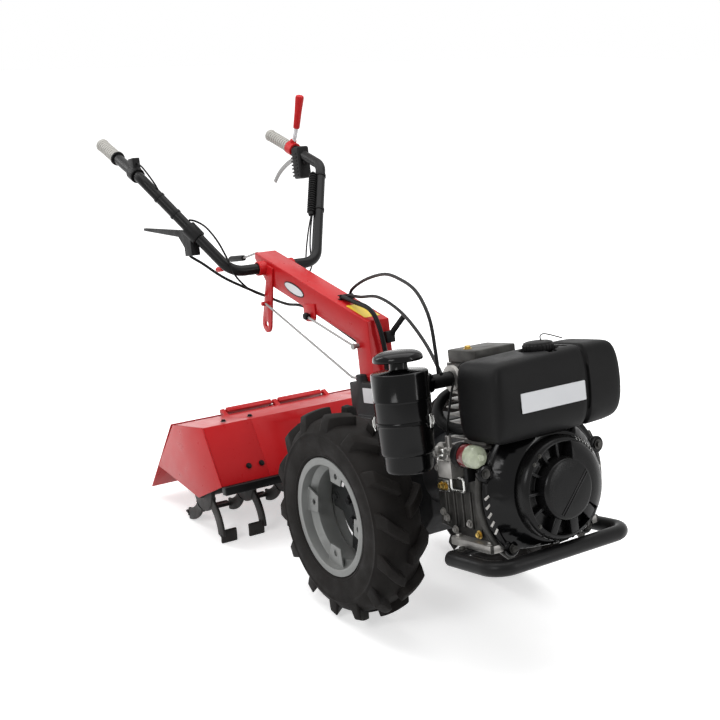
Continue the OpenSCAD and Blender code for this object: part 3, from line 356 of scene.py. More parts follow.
def wire_ring(middle, radius, wire, count):
    """A closed ring of wire that faces the side."""
    x, y, z = middle
    angles = [k * math.tau / count for k in range(count)]
    return curve_tube([(x + radius * math.cos(a), y, z + radius * math.sin(a)) for a in angles], wire, 10, True)


def smooth_line(points, steps=6):
    """The same rounded run through the points of a route as the CAD solid has."""
    points = [Vector(p) for p in points]
    line = []
    for i in range(len(points) - 1):
        a, b, c, d = (points[max(0, min(len(points) - 1, i + k))] for k in (-1, 0, 1, 2))
        for k in range(steps):
            t = k / steps
            line.append(b + (c - a) * t / 2 + (a - 2.5 * b + 2 * c - d / 2) * t * t
                        + (d - a + 3 * (b - c)) * t ** 3 / 2)
    return line + [points[-1]]


def bent_line(points, bend, steps):
    """A run of straight pieces whose corners are bent to one radius."""
    points = [Vector(p) for p in points]
    line = [points[0]]
    for a, p, b in zip(points, points[1:], points[2:]):
        coming, going = (p - a).normalized(), (b - p).normalized()
        turn = coming.angle(going)
        inward = (going - coming * coming.dot(going)).normalized()
        start = p - coming * bend * math.tan(turn / 2)
        for k in range(steps + 1):
            swing = turn * k / steps
            line.append(start + inward * bend * (1 - math.cos(swing)) + coming * bend * math.sin(swing))
    return line + [points[-1]]


def dressed(node, width, segments=2, angle=30):
    """A copy of a CAD node with its triangles merged and its sharp edges rounded, in metres."""
    source = frame["nodes"][node]
    if source.hide_get():
        raise RuntimeError(f"{node} is hidden before its copy is made")
    obj = copied(source)
    obj.parent = None
    for key in [key for key in obj.keys() if key.startswith("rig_")]:
        del obj[key]
    obj.data.materials.clear()
    edit(obj)
    take_all()
    bpy.ops.mesh.remove_doubles(threshold=0.00002)
    bpy.ops.mesh.dissolve_limited(angle_limit=math.radians(0.6))
    done(obj)
    return rounded(obj, width * 0.001, segments, angle)


def finished(obj, name, finish, body="chassis", node=None, smooth=32):
    """Names a piece, gives it its finish, and makes it ride on its body, in place of a CAD node if any."""
    pick(obj)
    obj.name = name
    obj.data.name = name
    obj.data.materials.clear()
    obj.data.materials.append(FINISHES[finish])
    bpy.ops.object.shade_smooth_by_angle(angle=math.radians(smooth))
    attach(obj, body)
    if node:
        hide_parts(node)
    return obj


def on_chassis(obj, name, finish, node=None, smooth=32):
    return finished(moved(obj, CHASSIS), name, finish, "chassis", node, smooth)


def skin(node, name, finish, width, segments=2, angle=30, body="chassis", smooth=32, slot=None):
    """A dressed CAD node as a piece of its own."""
    return finished(dressed(node, width, segments, angle), name, finish, body, node, smooth)


def bolt(radius, height, washer=1.35):
    """One hexagon bolt head on its washer, standing on Z = 0."""
    head = post((0, 0, washer), (0, 0, washer + height), radius, 6)
    rounded(head, radius * 0.12, 2, 50)
    ring = sleeve_ring(radius * 0.4, radius * 1.42, 0, washer, 24)
    edit(head)
    choose(head, lambda f: f.normal.z > 0.99)
    bpy.ops.mesh.inset(thickness=radius * 0.24)
    bpy.ops.transform.translate(value=(0, 0, -height * 0.1))
    done(head)
    return joined(head, ring)


def bolts(places, radius, height):
    """Bolt heads at [point, direction] places."""
    return copies(bolt(radius, height), [aimed(point, way) for point, way in places])


# Finishes

def wired(tree, value, socket):
    """Links an output to a socket, or gives the socket a plain value."""
    if hasattr(value, "is_linked"):
        tree.links.new(value, socket)
    else:
        socket.default_value = value


def shader_group(name, inputs, outputs):
    group = bpy.data.node_groups.new(name, "ShaderNodeTree")
    for label, kind, value in inputs:
        socket = group.interface.new_socket(name=label, in_out="INPUT", socket_type=f"NodeSocket{kind}")
        if value is not None:
            socket.default_value = value
    for label, kind in outputs:
        group.interface.new_socket(name=label, in_out="OUTPUT", socket_type=f"NodeSocket{kind}")
    return group, group.nodes.new("NodeGroupInput").outputs, group.nodes.new("NodeGroupOutput").inputs


def calc(tree, operation, a, b, clamp=False):
    node = tree.nodes.new("ShaderNodeMath")
    node.operation = operation
    node.use_clamp = clamp
    wired(tree, a, node.inputs[0])
    wired(tree, b, node.inputs[1])
    return node.outputs[0]


def mapped(tree, value, low, high, out_low, out_high):
    node = tree.nodes.new("ShaderNodeMapRange")
    for label, level in (("Value", value), ("From Min", low), ("From Max", high), ("To Min", out_low),
                         ("To Max", out_high)):
        wired(tree, level, node.inputs[label])
    return node.outputs["Result"]


def noise(tree, vector, scale, detail=3.0, roughness=0.55):
    node = tree.nodes.new("ShaderNodeTexNoise")
    for label, value in (("Vector", vector), ("Scale", scale), ("Detail", detail), ("Roughness", roughness)):
        wired(tree, value, node.inputs[label])
    return node.outputs["Fac"]


def mixed(tree, kind, first, factor, a, b):
    """A mix of two values; the sockets of each kind start at their own place."""
    node = tree.nodes.new("ShaderNodeMix")
    node.data_type = kind
    for place, value in ((0, factor), (first, a), (first + 1, b)):
        wired(tree, value, node.inputs[place])
    return node.outputs[{"FLOAT": 0, "RGBA": 2}[kind]]


def drift_group():
    """Slow change of a colour over a surface."""
    group, given, put = shader_group(
        "Colour drift",
        [("Vector", "Vector", None), ("Colour", "Color", (0.5, 0.5, 0.5, 1)), ("Size", "Float", 6.0),
         ("Drift", "Float", 0.15)],
        [("Colour", "Color")])
    wave = noise(group, given["Vector"], given["Size"], 4.0)
    step = mapped(group, wave, 0.3, 0.7, calc(group, "MULTIPLY", given["Drift"], -1.0), given["Drift"])
    scale = group.nodes.new("ShaderNodeVectorMath")
    scale.operation = "SCALE"
    wired(group, given["Colour"], scale.inputs[0])
    wired(group, calc(group, "ADD", step, 1.0), scale.inputs["Scale"])
    wired(group, scale.outputs["Vector"], put["Colour"])
    return group


def sheen_group():
    """Patches that are a little more or less glossy."""
    group, given, put = shader_group(
        "Patchy sheen",
        [("Vector", "Vector", None), ("Size", "Float", 30.0), ("Low", "Float", 0.3), ("High", "Float", 0.5)],
        [("Roughness", "Float")])
    wave = noise(group, given["Vector"], given["Size"], 5.0, 0.65)
    wired(group, mapped(group, wave, 0.3, 0.7, given["Low"], given["High"]), put["Roughness"])
    return group


def grain_group():
    """Fine skin of a casting, a moulding or rubber, as a height."""
    group, given, put = shader_group(
        "Fine skin",
        [("Vector", "Vector", None), ("Size", "Float", 700.0), ("Broad", "Float", 60.0), ("Share", "Float", 0.6)],
        [("Height", "Float")])
    fine = noise(group, given["Vector"], given["Size"], 2.0)
    broad = noise(group, given["Vector"], given["Broad"], 3.0)
    wired(group, mixed(group, "FLOAT", 2, given["Share"], broad, fine), put["Height"])
    return group


def dust_group():
    """Dry dust that lies on surfaces that face up, and in patches elsewhere."""
    group, given, put = shader_group(
        "Settled dust",
        [("Vector", "Vector", None), ("Colour", "Color", (0.5, 0.5, 0.5, 1)), ("Dust", "Color", (*DUST, 1)),
         ("Amount", "Float", 0.2)],
        [("Colour", "Color"), ("Mask", "Float")])
    split = group.nodes.new("ShaderNodeSeparateXYZ")
    wired(group, group.nodes.new("ShaderNodeNewGeometry").outputs["Normal"], split.inputs[0])
    up = mapped(group, split.outputs["Z"], -0.2, 1.0, 0.25, 1.0)
    patch = mapped(group, noise(group, given["Vector"], 14.0, 6.0, 0.7), 0.42, 0.72, 0.0, 1.0)
    level = calc(group, "MULTIPLY", calc(group, "MULTIPLY", up, patch), given["Amount"], True)
    wired(group, mixed(group, "RGBA", 6, level, given["Colour"], given["Dust"]), put["Colour"])
    wired(group, level, put["Mask"])
    return group


DUST = (0.24, 0.21, 0.18)
GROUPS = {}
FINISHES = {}


def placed_group(tree, label, vector, **values):
    node = tree.nodes.new("ShaderNodeGroup")
    node.node_tree = GROUPS[label]
    wired(tree, vector, node.inputs["Vector"])
    for name, value in values.items():
        wired(tree, value, node.inputs[name])
    return node


def surface(name, tone, sheen, metallic=0.0, drift=0.12, drift_size=7.0, skin=700.0, broad=60.0, share=0.6,
            relief=0.12, dust=0.0, coat=0.0, coat_rough=0.1, specular=0.5, dust_tone=DUST):
    """A finish with drifting colour, patchy gloss, a fine skin and a little dust."""
    material = bpy.data.materials.new(name)
    material.use_nodes = True
    tree = material.node_tree
    shader = tree.nodes["Principled BSDF"].inputs
    vector = tree.nodes.new("ShaderNodeTexCoord").outputs["Object"]
    tint = placed_group(tree, "drift", vector, Colour=(*tone, 1), Size=drift_size, Drift=drift).outputs["Colour"]
    if dust > 0:
        tint = placed_group(
            tree, "dust", vector, Colour=tint, Dust=(*dust_tone, 1), Amount=dust).outputs["Colour"]
    gloss = placed_group(tree, "sheen", vector, Size=28.0, Low=sheen[0], High=sheen[1]).outputs["Roughness"]
    height = placed_group(tree, "skin", vector, Size=skin, Broad=broad, Share=share).outputs["Height"]
    bump = tree.nodes.new("ShaderNodeBump")
    for label, value in (("Strength", relief), ("Distance", 0.001), ("Height", height)):
        wired(tree, value, bump.inputs[label])
    for label, value in (
            ("Base Color", tint), ("Roughness", gloss), ("Normal", bump.outputs["Normal"]), ("Metallic", metallic),
            ("Coat Weight", coat), ("Coat Roughness", coat_rough), ("Specular IOR Level", specular)):
        wired(tree, value, shader[label])
    material.diffuse_color = (*tone, 1)
    return material


def make_finishes(tones):
    GROUPS.update(drift=drift_group(), sheen=sheen_group(), skin=grain_group(), dust=dust_group())
    FINISHES.update(
        rubber=surface("Tyre rubber", tones.rubber, (0.6, 0.85), drift=0.3, drift_size=16, skin=900, broad=120,
                       relief=0.25, dust=0.10, dust_tone=(0.08, 0.068, 0.06), specular=0.12),
        rim=surface("Rim paint", tones.rim_silver, (0.36, 0.52), metallic=0.35, drift=0.08, skin=650, relief=0.07,
                    dust=0.10, specular=0.35),
        disc=surface("Wheel disc", (0.034, 0.036, 0.036), (0.42, 0.6), metallic=0.2, drift=0.2, relief=0.1,
                     dust=0.10, specular=0.18),
        red=surface("Red paint", tones.red_paint, (0.26, 0.38), drift=0.05, skin=320, broad=25, relief=0.03,
                    coat=0.05, coat_rough=0.14, dust=0.02, specular=0.16),
        tank=surface("Tank moulding", tones.tank_black, (0.42, 0.54), drift=0.14, skin=1400, broad=45, share=0.75,
                     relief=0.10, dust=0.01, specular=0.10),
        cover=surface("Gloss covers", tones.cover_black, (0.10, 0.2), drift=0.1, skin=260, broad=30, relief=0.02,
                      specular=0.15),
        recoil=surface("Starter moulding", (0.0042, 0.0042, 0.0044), (0.2, 0.3), skin=1100, relief=0.06, dust=0.01,
                       specular=0.15),
        tube=surface("Black tube", tones.tube_black, (0.3, 0.44), drift=0.15, skin=900, broad=80, relief=0.08,
                     dust=0.02, specular=0.14),
        trim=surface("Black trim", (0.0055, 0.0055, 0.0058), (0.38, 0.6), drift=0.15, skin=1200, dust=0.02,
                     specular=0.13),
        iron=surface("Painted iron", tones.iron, (0.42, 0.62), metallic=0.1, drift=0.25, skin=420, broad=90,
                     relief=0.25, dust=0.07, specular=0.16),
        casting=surface("Aluminium casting", tones.casting, (0.36, 0.58), metallic=0.8, drift=0.3, drift_size=18,
                        skin=520, broad=120, relief=0.25, dust=0.10),
        dark_casting=surface("Dark casting", (0.045, 0.044, 0.041), (0.34, 0.6), metallic=0.55, drift=0.4,
                             drift_size=24, skin=520, broad=120, relief=0.28, dust=0.06, specular=0.3),
        steel=surface("Bright steel", (0.60, 0.60, 0.58), (0.2, 0.36), metallic=1.0, drift=0.1, skin=800,
                      relief=0.06),
        brass=surface("Yellow zinc", (0.55, 0.38, 0.11), (0.28, 0.42), metallic=0.9, drift=0.15, skin=800,
                      relief=0.06),
        muffler=surface("Burnt steel", (0.030, 0.028, 0.027), (0.45, 0.7), metallic=0.6, drift=0.35, drift_size=22,
                        skin=600, relief=0.2, dust=0.1, dust_tone=(0.13, 0.075, 0.05)),
        hose=surface("Cable sheath", (0.0045, 0.0045, 0.0048), (0.4, 0.55), skin=1500, relief=0.08, specular=0.14),
        grip=surface("Grip plastic", tones.grip, (0.42, 0.58), drift=0.08, skin=1300, dust=0.08),
        pale=surface("Pale lever", (0.27, 0.27, 0.265), (0.35, 0.5), metallic=0.3, drift=0.08, relief=0.08),
        lever_red=surface("Red lever sleeve", (0.47, 0.010, 0.012), (0.36, 0.5), drift=0.06, skin=900, relief=0.08,
                          specular=0.2),
        yellow=surface("Yellow sticker", tones.yellow, (0.3, 0.42), drift=0.05, skin=500, relief=0.03),
        label=surface("Blank label", (0.70, 0.71, 0.73), (0.28, 0.4), drift=0.03, skin=500, relief=0.03),
        tine=surface("Tine steel", (0.016, 0.015, 0.0145), (0.4, 0.62), metallic=0.4, drift=0.3, drift_size=24,
                     skin=500, broad=140, relief=0.3, dust=0.10, dust_tone=(0.12, 0.09, 0.07), specular=0.3),
        filter_red=surface("Filter body", (0.16, 0.022, 0.024), (0.1, 0.2), drift=0.25, drift_size=40, skin=500,
                           relief=0.03, coat=0.3),
        filter_pale=surface("Filter end", (0.42, 0.46, 0.34), (0.14, 0.26), drift=0.22, drift_size=60, skin=500,
                            relief=0.04, coat=0.3),
        # painted shade: near-black blocks put where the starter's vent slots show only their dark inside
        slot_dark=surface("Slot shade", (0.002, 0.002, 0.002), (0.6, 0.8), drift=0.2, relief=0.05, specular=0.1),
    )


# Stage, which is no part of the object

WHITE = (1, 1, 1, 1)


def show_white(tree, lit, white, output):
    """Gives eyes, reflections and glass the white backdrop, and everything else the plain light."""
    rays = tree.nodes.new("ShaderNodeLightPath").outputs
    seen = calc(tree, "MAXIMUM", rays["Is Camera Ray"], rays["Is Glossy Ray"])
    seen = calc(tree, "MAXIMUM", seen, rays["Is Transmission Ray"])
    mix = tree.nodes.new("ShaderNodeMixShader")
    for place, value in enumerate((seen, lit, white)):
        tree.links.new(value, mix.inputs[place])
    tree.links.new(mix.outputs[0], output.inputs["Surface"])


class TRACTOR_OT_stage(bpy.types.Operator):
    """Camera at the photograph's angle, pale floor and soft studio light"""

    bl_idname = "tractor.stage"
    bl_label = "Stage"

    def execute(self, context):
        settings = context.scene.tractor_stage
        yaw, pitch = settings.camera_yaw, settings.camera_pitch
        heading = Vector((math.cos(pitch) * math.cos(yaw), math.cos(pitch) * math.sin(yaw), math.sin(pitch)))
        clear_selection()
        bpy.ops.object.camera_add(
            location=settings.camera_place, rotation=heading.to_track_quat("-Z", "Y").to_euler())
        camera = context.object
        camera.data.lens = settings.camera_lens
        camera.data.sensor_width = 36
        context.scene.camera = camera
        self.floor()
        self.world(context)
        for name, place, aim, size, power in (
                ("overhead", (-0.3, 0.2, 3.6), (0, 0, 0.3), (4.2, 3.4), 122),
                ("key", (1.6, -3.4, 2.6), (0.1, 0, 0.5), (1.5, 1.3), 50),
                ("front strip", (3.6, 1.6, 1.8), (0.4, 0, 0.4), (0.4, 2.2), 26),
                ("back strip", (-3.0, -1.8, 2.4), (-0.2, 0, 0.5), (0.6, 2.4), 38)):
            way = Vector(aim) - Vector(place)
            clear_selection()
            bpy.ops.object.light_add(type="AREA", location=place, rotation=way.to_track_quat("-Z", "Y").to_euler())
            lamp = context.object
            lamp.name = name
            lamp.data.shape = "RECTANGLE"
            lamp.data.size, lamp.data.size_y = size
            lamp.data.energy = power * settings.light_level
        context.scene.view_settings.view_transform = "Standard"
        return {"FINISHED"}

    def floor(self):
        clear_selection()
        bpy.ops.mesh.primitive_plane_add(size=60, location=(0, 0, 0))
        floor = settle()
        floor.name = "floor"
        material = bpy.data.materials.new("Studio floor")
        material.use_nodes = True
        tree = material.node_tree
        shader = tree.nodes["Principled BSDF"]
        for label, value in (("Base Color", (0.80, 0.80, 0.80, 1)), ("Roughness", 0.9), ("Specular IOR Level", 0.05)):
            shader.inputs[label].default_value = value
        # away from the machine the floor itself turns white, as the backdrop of a studio
        far = tree.nodes.new("ShaderNodeVectorMath")
        far.operation = "LENGTH"
        wired(tree, tree.nodes.new("ShaderNodeTexCoord").outputs["Object"], far.inputs[0])
        glow = tree.nodes.new("ShaderNodeEmission")
        glow.inputs["Color"].default_value = WHITE
        wired(tree, mapped(tree, far.outputs["Value"], 0.7, 2.2, 0.55, 1.0), glow.inputs["Strength"])
        both = tree.nodes.new("ShaderNodeAddShader")
        wired(tree, shader.outputs[0], both.inputs[0])
        wired(tree, glow.outputs[0], both.inputs[1])
        show_white(tree, shader.outputs[0], both.outputs[0], tree.nodes["Material Output"])
        floor.data.materials.append(material)

    def world(self, context):
        world = bpy.data.worlds.new("Studio air")
        context.scene.world = world
        world.use_nodes = True
        tree = world.node_tree
        light, white = tree.nodes["Background"], tree.nodes.new("ShaderNodeBackground")
        for node, strength in ((light, 0.30), (white, 1.0)):
            node.inputs["Color"].default_value = WHITE
            node.inputs["Strength"].default_value = strength
        show_white(tree, light.outputs[0], white.outputs[0], tree.nodes["World Output"])


# Cables: the first four routes repeat the points of the CAD solids, in millimetres on the chassis

UPPER_LOOP = [
    (-265, 20, 480.255), (-229.06, 9.2, 500.5), (-129.626, -12.68, 523.903), (16.53, -52.6, 537.125),
    (138.127, -91.14, 524.346), (226.18, -120.6, 503.866), (283.085, -140.7, 472.167), (314.832, -152.24, 435.056),
    (329.208, -158.56, 384.754), (334, -160, 331)]
LOWER_LOOP = [
    (-265, 10, 480.255), (-228.46, -0.2, 483.699), (-155.38, -16.6, 481.289), (-33.58, -44.6, 482.438),
    (112.58, -83.4, 449.717), (246.56, -124.8, 392.081), (344, -160, 331)]
BUNDLE = [
    (-265, -6, 482.255), (-200, -8, 468), (-129, -12, 450), (-100, -10, 412), (-98, 0, 342), (-103, 0, 284.3)]
CLUTCH_RUN = [
    (-716, -206, 633), (-711.926, -201.52, 623.424), (-693.926, -179.52, 602.424), (-655.926, -127.52, 550.424),
    (-631.526, -13, 483.984), (-549.526, -9, 465.984), (-419.526, -11, 449.984), (-177, 8, 340.454)]
PERCH_LOOP = [
    (-694, -203, 726), (-676, -192, 720), (-640, -181, 700), (-612, -166, 660), (-600, -150, 612),
    (-604, -128, 560), (-616, -88, 520), (-628, -46, 498), (-640, -22, 492)]
BOOT_OUTER = [
    (-691, 186, 704), (-678, 164, 664), (-664, 144, 622), (-652, 130, 590), (-641, 119, 561), (-620, 92, 541),
    (-586, 54, 528), (-553, 35.5, 523)]
BOOT_INNER = [
    (-687, 187, 705), (-673, 168, 664), (-657, 151, 622), (-645, 142, 590), (-634, 135, 560), (-616, 108, 536),
    (-580, 62, 514), (-550, 35.5, 508)]
CAP_TETHER = [
    (454, 22, 379), (440, 34, 385), (424, 58, 386), (410, 92, 378), (404, 126, 367)]


def cord_curve(name, route, radius, finish, node=None):
    """A free cable as a curve of one spline."""
    line = [CHASSIS @ p for p in smooth_line(route)]
    piece = curve_line(name, line, radius * 0.001, 3)
    piece.data.materials.append(FINISHES[finish])
    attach(piece, "chassis")
    if node:
        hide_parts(node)


class TRACTOR_OT_cables(bpy.types.Operator):
    """Control cables from the handlebar to the engine and the gearbox"""

    bl_idname = "tractor.cables"
    bl_label = "Cables"

    def execute(self, context):
        radius = context.scene.tractor_sizes.cable_radius
        for name, route, share, lay in (
                ("cable_upper_loop", UPPER_LOOP, 1, "loose"), ("cable_lower_loop", LOWER_LOOP, 1, "loose"),
                ("cable_bundle", BUNDLE, 1.5, "loose"), ("cable_clutch", CLUTCH_RUN, 1, "hanging")):
            cord_curve(name, route, radius * share, "hose", "control_cables")
        for name, route, share, finish in (
                ("cable_perch", PERCH_LOOP, 0.7, "hose"), ("cable_boot_outer", BOOT_OUTER, 0.6, "hose"),
                ("cable_boot_inner", BOOT_INNER, 0.6, "hose"), ("cap_tether", CAP_TETHER, 0.35, "trim")):
            cord_curve(name, route, radius * share, finish)
        return {"FINISHED"}


# Wheels, drawn with the outside of the wheel along Z

TYRE_R = 250
CARCASS_R = 230
RIM_R = 140
BEAD_R = 127
BEAD_HALF = 51.5
LUG_START, LUG_END = 5.0, 52.0
LUG_SKEW = 40
LUG_SINK = 14
SHOULDER_DROP = 9.0
DISC_FACE = -28
ARM_BOLT_R, STUD_R = 98, 40


def tyre_outline():
    """The carcass from bead to crown and back, with the fine rings of its sidewall."""
    half = [
        (BEAD_R + 1, BEAD_HALF - 1), (BEAD_R + 8, BEAD_HALF), (RIM_R + 2, BEAD_HALF + 1),
        (RIM_R + 5, BEAD_HALF + 5.5), (RIM_R + 8, BEAD_HALF + 6.8), (RIM_R + 9.5, BEAD_HALF + 6.2),
        (RIM_R + 14, BEAD_HALF + 8), (166, 61.2), (176, 62), (185, 61.6), (192, 60.6), (194, 60.9), (195.5, 61.6),
        (198.5, 61.5), (200, 60.2), (204, 58.4), (212, 54), (219, 47.5), (224, 39), (227.5, 28), (229.4, 14)]
    back = [(r, -z) for r, z in reversed(half)]
    inner = [
        (BEAD_R + 12, -40), (190, -47), (CARCASS_R - 14, -30), (CARCASS_R - 11, 0), (CARCASS_R - 14, 30),
        (190, 47), (BEAD_R + 12, 40)]
    return half + [(CARCASS_R, 0)] + back + inner + half[:1]


def lug_bar(half, side, width):
    """One tread lug from the crown to the shoulder, with its foot on the sidewall."""
    obj = block((CARCASS_R - LUG_SINK, -width / 2, LUG_START), (TYRE_R, width / 2, LUG_END))
    edit(obj, "EDGE")
    choose(obj, lambda e: abs(e.verts[0].co.z - e.verts[1].co.z) > 1, "EDGE")
    bpy.ops.mesh.subdivide(number_cuts=5)
    choose(obj, lambda v: v.co.x < CARCASS_R, "VERT")
    bpy.ops.transform.resize(value=(1, 1.4, 1), center_override=(CARCASS_R, 0, 0))
    # the foot: the outer end runs on down the sidewall
    choose(obj, lambda f: f.normal.z > 0.9)
    bpy.ops.mesh.extrude_region_move(TRANSFORM_OT_translate={"value": (-19, 0, 7.5)})
    choose(obj, lambda v: v.co.z > LUG_END + 1 and v.co.x < CARCASS_R - 18, "VERT")
    bpy.ops.transform.translate(value=(-2, 0, 0.8))
    choose(obj, lambda v: v.co.z > LUG_END + 1 and v.co.x > CARCASS_R - 10, "VERT")
    bpy.ops.transform.translate(value=(-4, 0, -2.5))
    # the sweep: each ring goes sideways and follows the round of the tyre
    for level in sorted({round(v.co.z, 1) for v in bmesh.from_edit_mesh(obj.data).verts}):
        share = min(1.0, (level - LUG_START) / (LUG_END - LUG_START))
        sweep = -side * LUG_SKEW * (0.75 * share + 0.25 * share * share)
        drop = -sweep * sweep / (2 * TYRE_R) - SHOULDER_DROP * share * share
        choose(obj, lambda v: abs(v.co.z - level) < 0.06, "VERT")
        bpy.ops.transform.translate(value=(drop, sweep, 0))
        bpy.ops.transform.resize(value=(1, 1 + 0.12 * share, 1), center_override=(0, sweep, 0))
    done(obj)
    if half < 0:
        pick(obj)
        bpy.ops.transform.mirror(constraint_axis=(False, False, True))
        settle()
        edit(obj)
        face_out()
        done(obj)
    return rounded(obj, 2.4, 2, 25)


class TRACTOR_OT_tyres(bpy.types.Operator):
    """Smooth carcass with swept, rounded tread lugs for both wheels"""

    bl_idname = "tractor.tyres"
    bl_label = "Tyres"

    def execute(self, context):
        sizes = context.scene.tractor_sizes
        count = sizes.lug_count
        for side, word in SIDES.items():
            carcass = turned(tyre_outline(), 112)
            rows = [
                copies(lug_bar(half, side, sizes.lug_width),
                       [spun((i + half / 4) * 360 / count) for i in range(count)])
                for half in (-1, 1)]
            tyre = moved(joined(carcass, *rows), WHEEL[side])
            finished(tyre, f"tyre_tread_{word}", "rubber", f"wheel_{word}", f"tyre_{word}", 38)
        return {"FINISHED"}


def bolt_circle(radius, count, start=0.0):
    angles = [k * math.tau / count + start for k in range(count)]
    return [((radius * math.cos(a), radius * math.sin(a), DISC_FACE), UP) for a in angles]


class TRACTOR_OT_wheels(bpy.types.Operator):
    """Rims, discs and hubs with their bolts and valves"""

    bl_idname = "tractor.wheels"
    bl_label = "Wheels"

    def execute(self, context):
        for side, word in SIDES.items():
            body = f"wheel_{word}"
            for node, name, finish, width, slot in (
                    ("rim", "rim_painted", "rim", 1.1, None), ("disc", "disc_pressed", "disc", 1.4, None),
                    ("hub", "hub_turned", "iron", 1.6, "hub_iron")):
                skin(f"{node}_{word}", f"{name}_{word}", finish, width, body=body, slot=slot)
            arm_bolts = bolts(bolt_circle(ARM_BOLT_R, 4), 8.5, 7)
            nuts = bolts(bolt_circle(STUD_R, 5, 0.4), 9, 8)
            boss = turned([(0, 0), (21, 0), (21, 6), (18, 9), (12, 10), (0, 10)], 32)
            valve = turned([(0, 0), (5, 0), (5, 6), (3.4, 9), (3.4, 24), (4.2, 25), (4.2, 33), (3, 34), (0, 34)], 16)
            for piece, name, finish, slot in (
                    (arm_bolts, "disc_bolts", "disc", None), (nuts, "hub_nuts", "iron", "hub_iron"),
                    (moved(boss, Matrix.Translation((0, 0, DISC_FACE))), "hub_boss", "iron", "hub_iron"),
                    (moved(valve, aimed((100, 56, 12), (-0.62, -0.35, 0.7))), "valve", "hose", None)):
                finished(moved(piece, WHEEL[side]), f"{name}_{word}", finish, body)
        return {"FINISHED"}


# Fuel tank

TANK_LOW = Vector((384.7, -165.5, 190.0))
TANK_HIGH = Vector((526.7, 179.5, 366.0))
STRAP_Y = 78.0
CAP = Vector((455.7, 12.0, 349.0))
CAP_STEPS = 72


class TRACTOR_OT_fuel_tank(bpy.types.Operator):
    """Moulded tank with its strap groove, pocket, ribbed cap and a blank label"""

    bl_idname = "tractor.fuel_tank"
    bl_label = "Fuel tank"

    def execute(self, context):
        self.shell(context.scene.tractor_sizes.tank_round)
        self.cap()
        on_chassis(soft_plate((526.0, -106, 250), (527.4, 66, 290), 0, 1.5), "tank_label", "label")
        return {"FINISHED"}

    def shell(self, radius):
        low, high = TANK_LOW, TANK_HIGH
        obj = block(low, high)
        edit(obj)
        # cuts beside every edge hold the rounding of the moulding
        for axis, way in enumerate((AHEAD, LEFT, UP)):
            for level in (low[axis] + radius, high[axis] - radius):
                take_all()
                bpy.ops.mesh.bisect(plane_co=[part * level for part in way], plane_no=way)
        # the lower front runs back, the top leans in, and the ends draw in like two lobes
        for test, step in (
                (lambda v: v.co.z < low.z + 1 and v.co.x > high.x - 1, (-26, 0, 0)),
                (lambda v: v.co.z > high.z - 1 and v.co.x > high.x - 1, (-14, 0, 0)),
                (lambda v: v.co.z > high.z - 1 and v.co.y < 0, (0, 0, -9)),
                (lambda v: v.co.z > high.z - 10.5 and v.co.y < low.y + 1, (0, 22, 0)),
                (lambda v: v.co.z < low.z + 1 and v.co.y < low.y + 1, (0, 10, 0)),
                (lambda v: v.co.z > high.z - 1 and v.co.y > high.y - 1, (0, -16, -6)),
                (lambda v: v.co.z < low.z + 1 and v.co.y > high.y - 1, (0, -12, 10))):
            choose(obj, test, "VERT")
            bpy.ops.transform.translate(value=step)
        done(obj)
        bpy.ops.object.modifier_add(type="SUBSURF")
        soft = obj.modifiers[-1]
        soft.levels = soft.render_levels = 3
        bpy.ops.object.modifier_apply(modifier=soft.name)
        # the strap's groove: cuts across the shell, then what lies between them is drawn inwards
        edit(obj)
        for y in (-7.5, -4.5, 4.5, 7.5):
            take_all()
            bpy.ops.mesh.bisect(plane_co=(0, STRAP_Y + y, 0), plane_no=LEFT)
        choose(obj, lambda v: abs(v.co.y - STRAP_Y) < 4.6, "VERT")
        bpy.ops.transform.resize(
            value=(0.91, 1, 0.93), center_override=((low.x + high.x) / 2, STRAP_Y, (low.z + high.z) / 2))
        done(obj)
        # the cap's well, and two small pockets in the top
        for cutter, place in (
                (turned([(0, 0), (38, 0), (41, 3), (44, 40), (0, 40)], 48), Matrix.Translation(CAP)),
                (soft_block((-24, -4, -7), (24, 4, 12), 3.4, 3), Matrix.Translation((470, 52, 366)) @ spun(8)),
                (soft_block((-6, -11, -6), (8, 11, 12), 3, 3), Matrix.Translation((500, 6, 362)))):
            carved(obj, moved(cutter, place))
        rounded(obj, 1.4, 2, 38)
        on_chassis(obj, "tank_shell", "tank", "fuel_tank", 40)

    def cap(self):
        cap = turned([
            (0, 0), (28, 0), (28, 8), (31, 9), (32, 22), (30, 26.6), (24, 28.6), (8, 29), (0, 29)], CAP_STEPS)
        edit(cap)
        choose(cap, lambda f: (
            abs(f.normal.z) < 0.3 and f.calc_center_median().z > 9 and turn_step(f, CAP_STEPS) % 3 != 0))
        bpy.ops.mesh.extrude_region_shrink_fatten(TRANSFORM_OT_shrink_fatten={"value": 1.5})
        done(cap)
        rounded(cap, 0.5)
        on_chassis(moved(cap, Matrix.Translation(CAP)), "tank_cap", "trim", "fuel_cap")


# Flywheel cover and starter, drawn about Z and laid along the crankshaft

RECOIL_X0 = 485.0
CRANK_Z = 75.0
ALONG_X = spun(90, "Y")
SCREW_R = 100.5


def on_crank(x, degrees=0):
    return Matrix.Translation((x, 0, CRANK_Z)) @ ALONG_X @ spun(degrees)


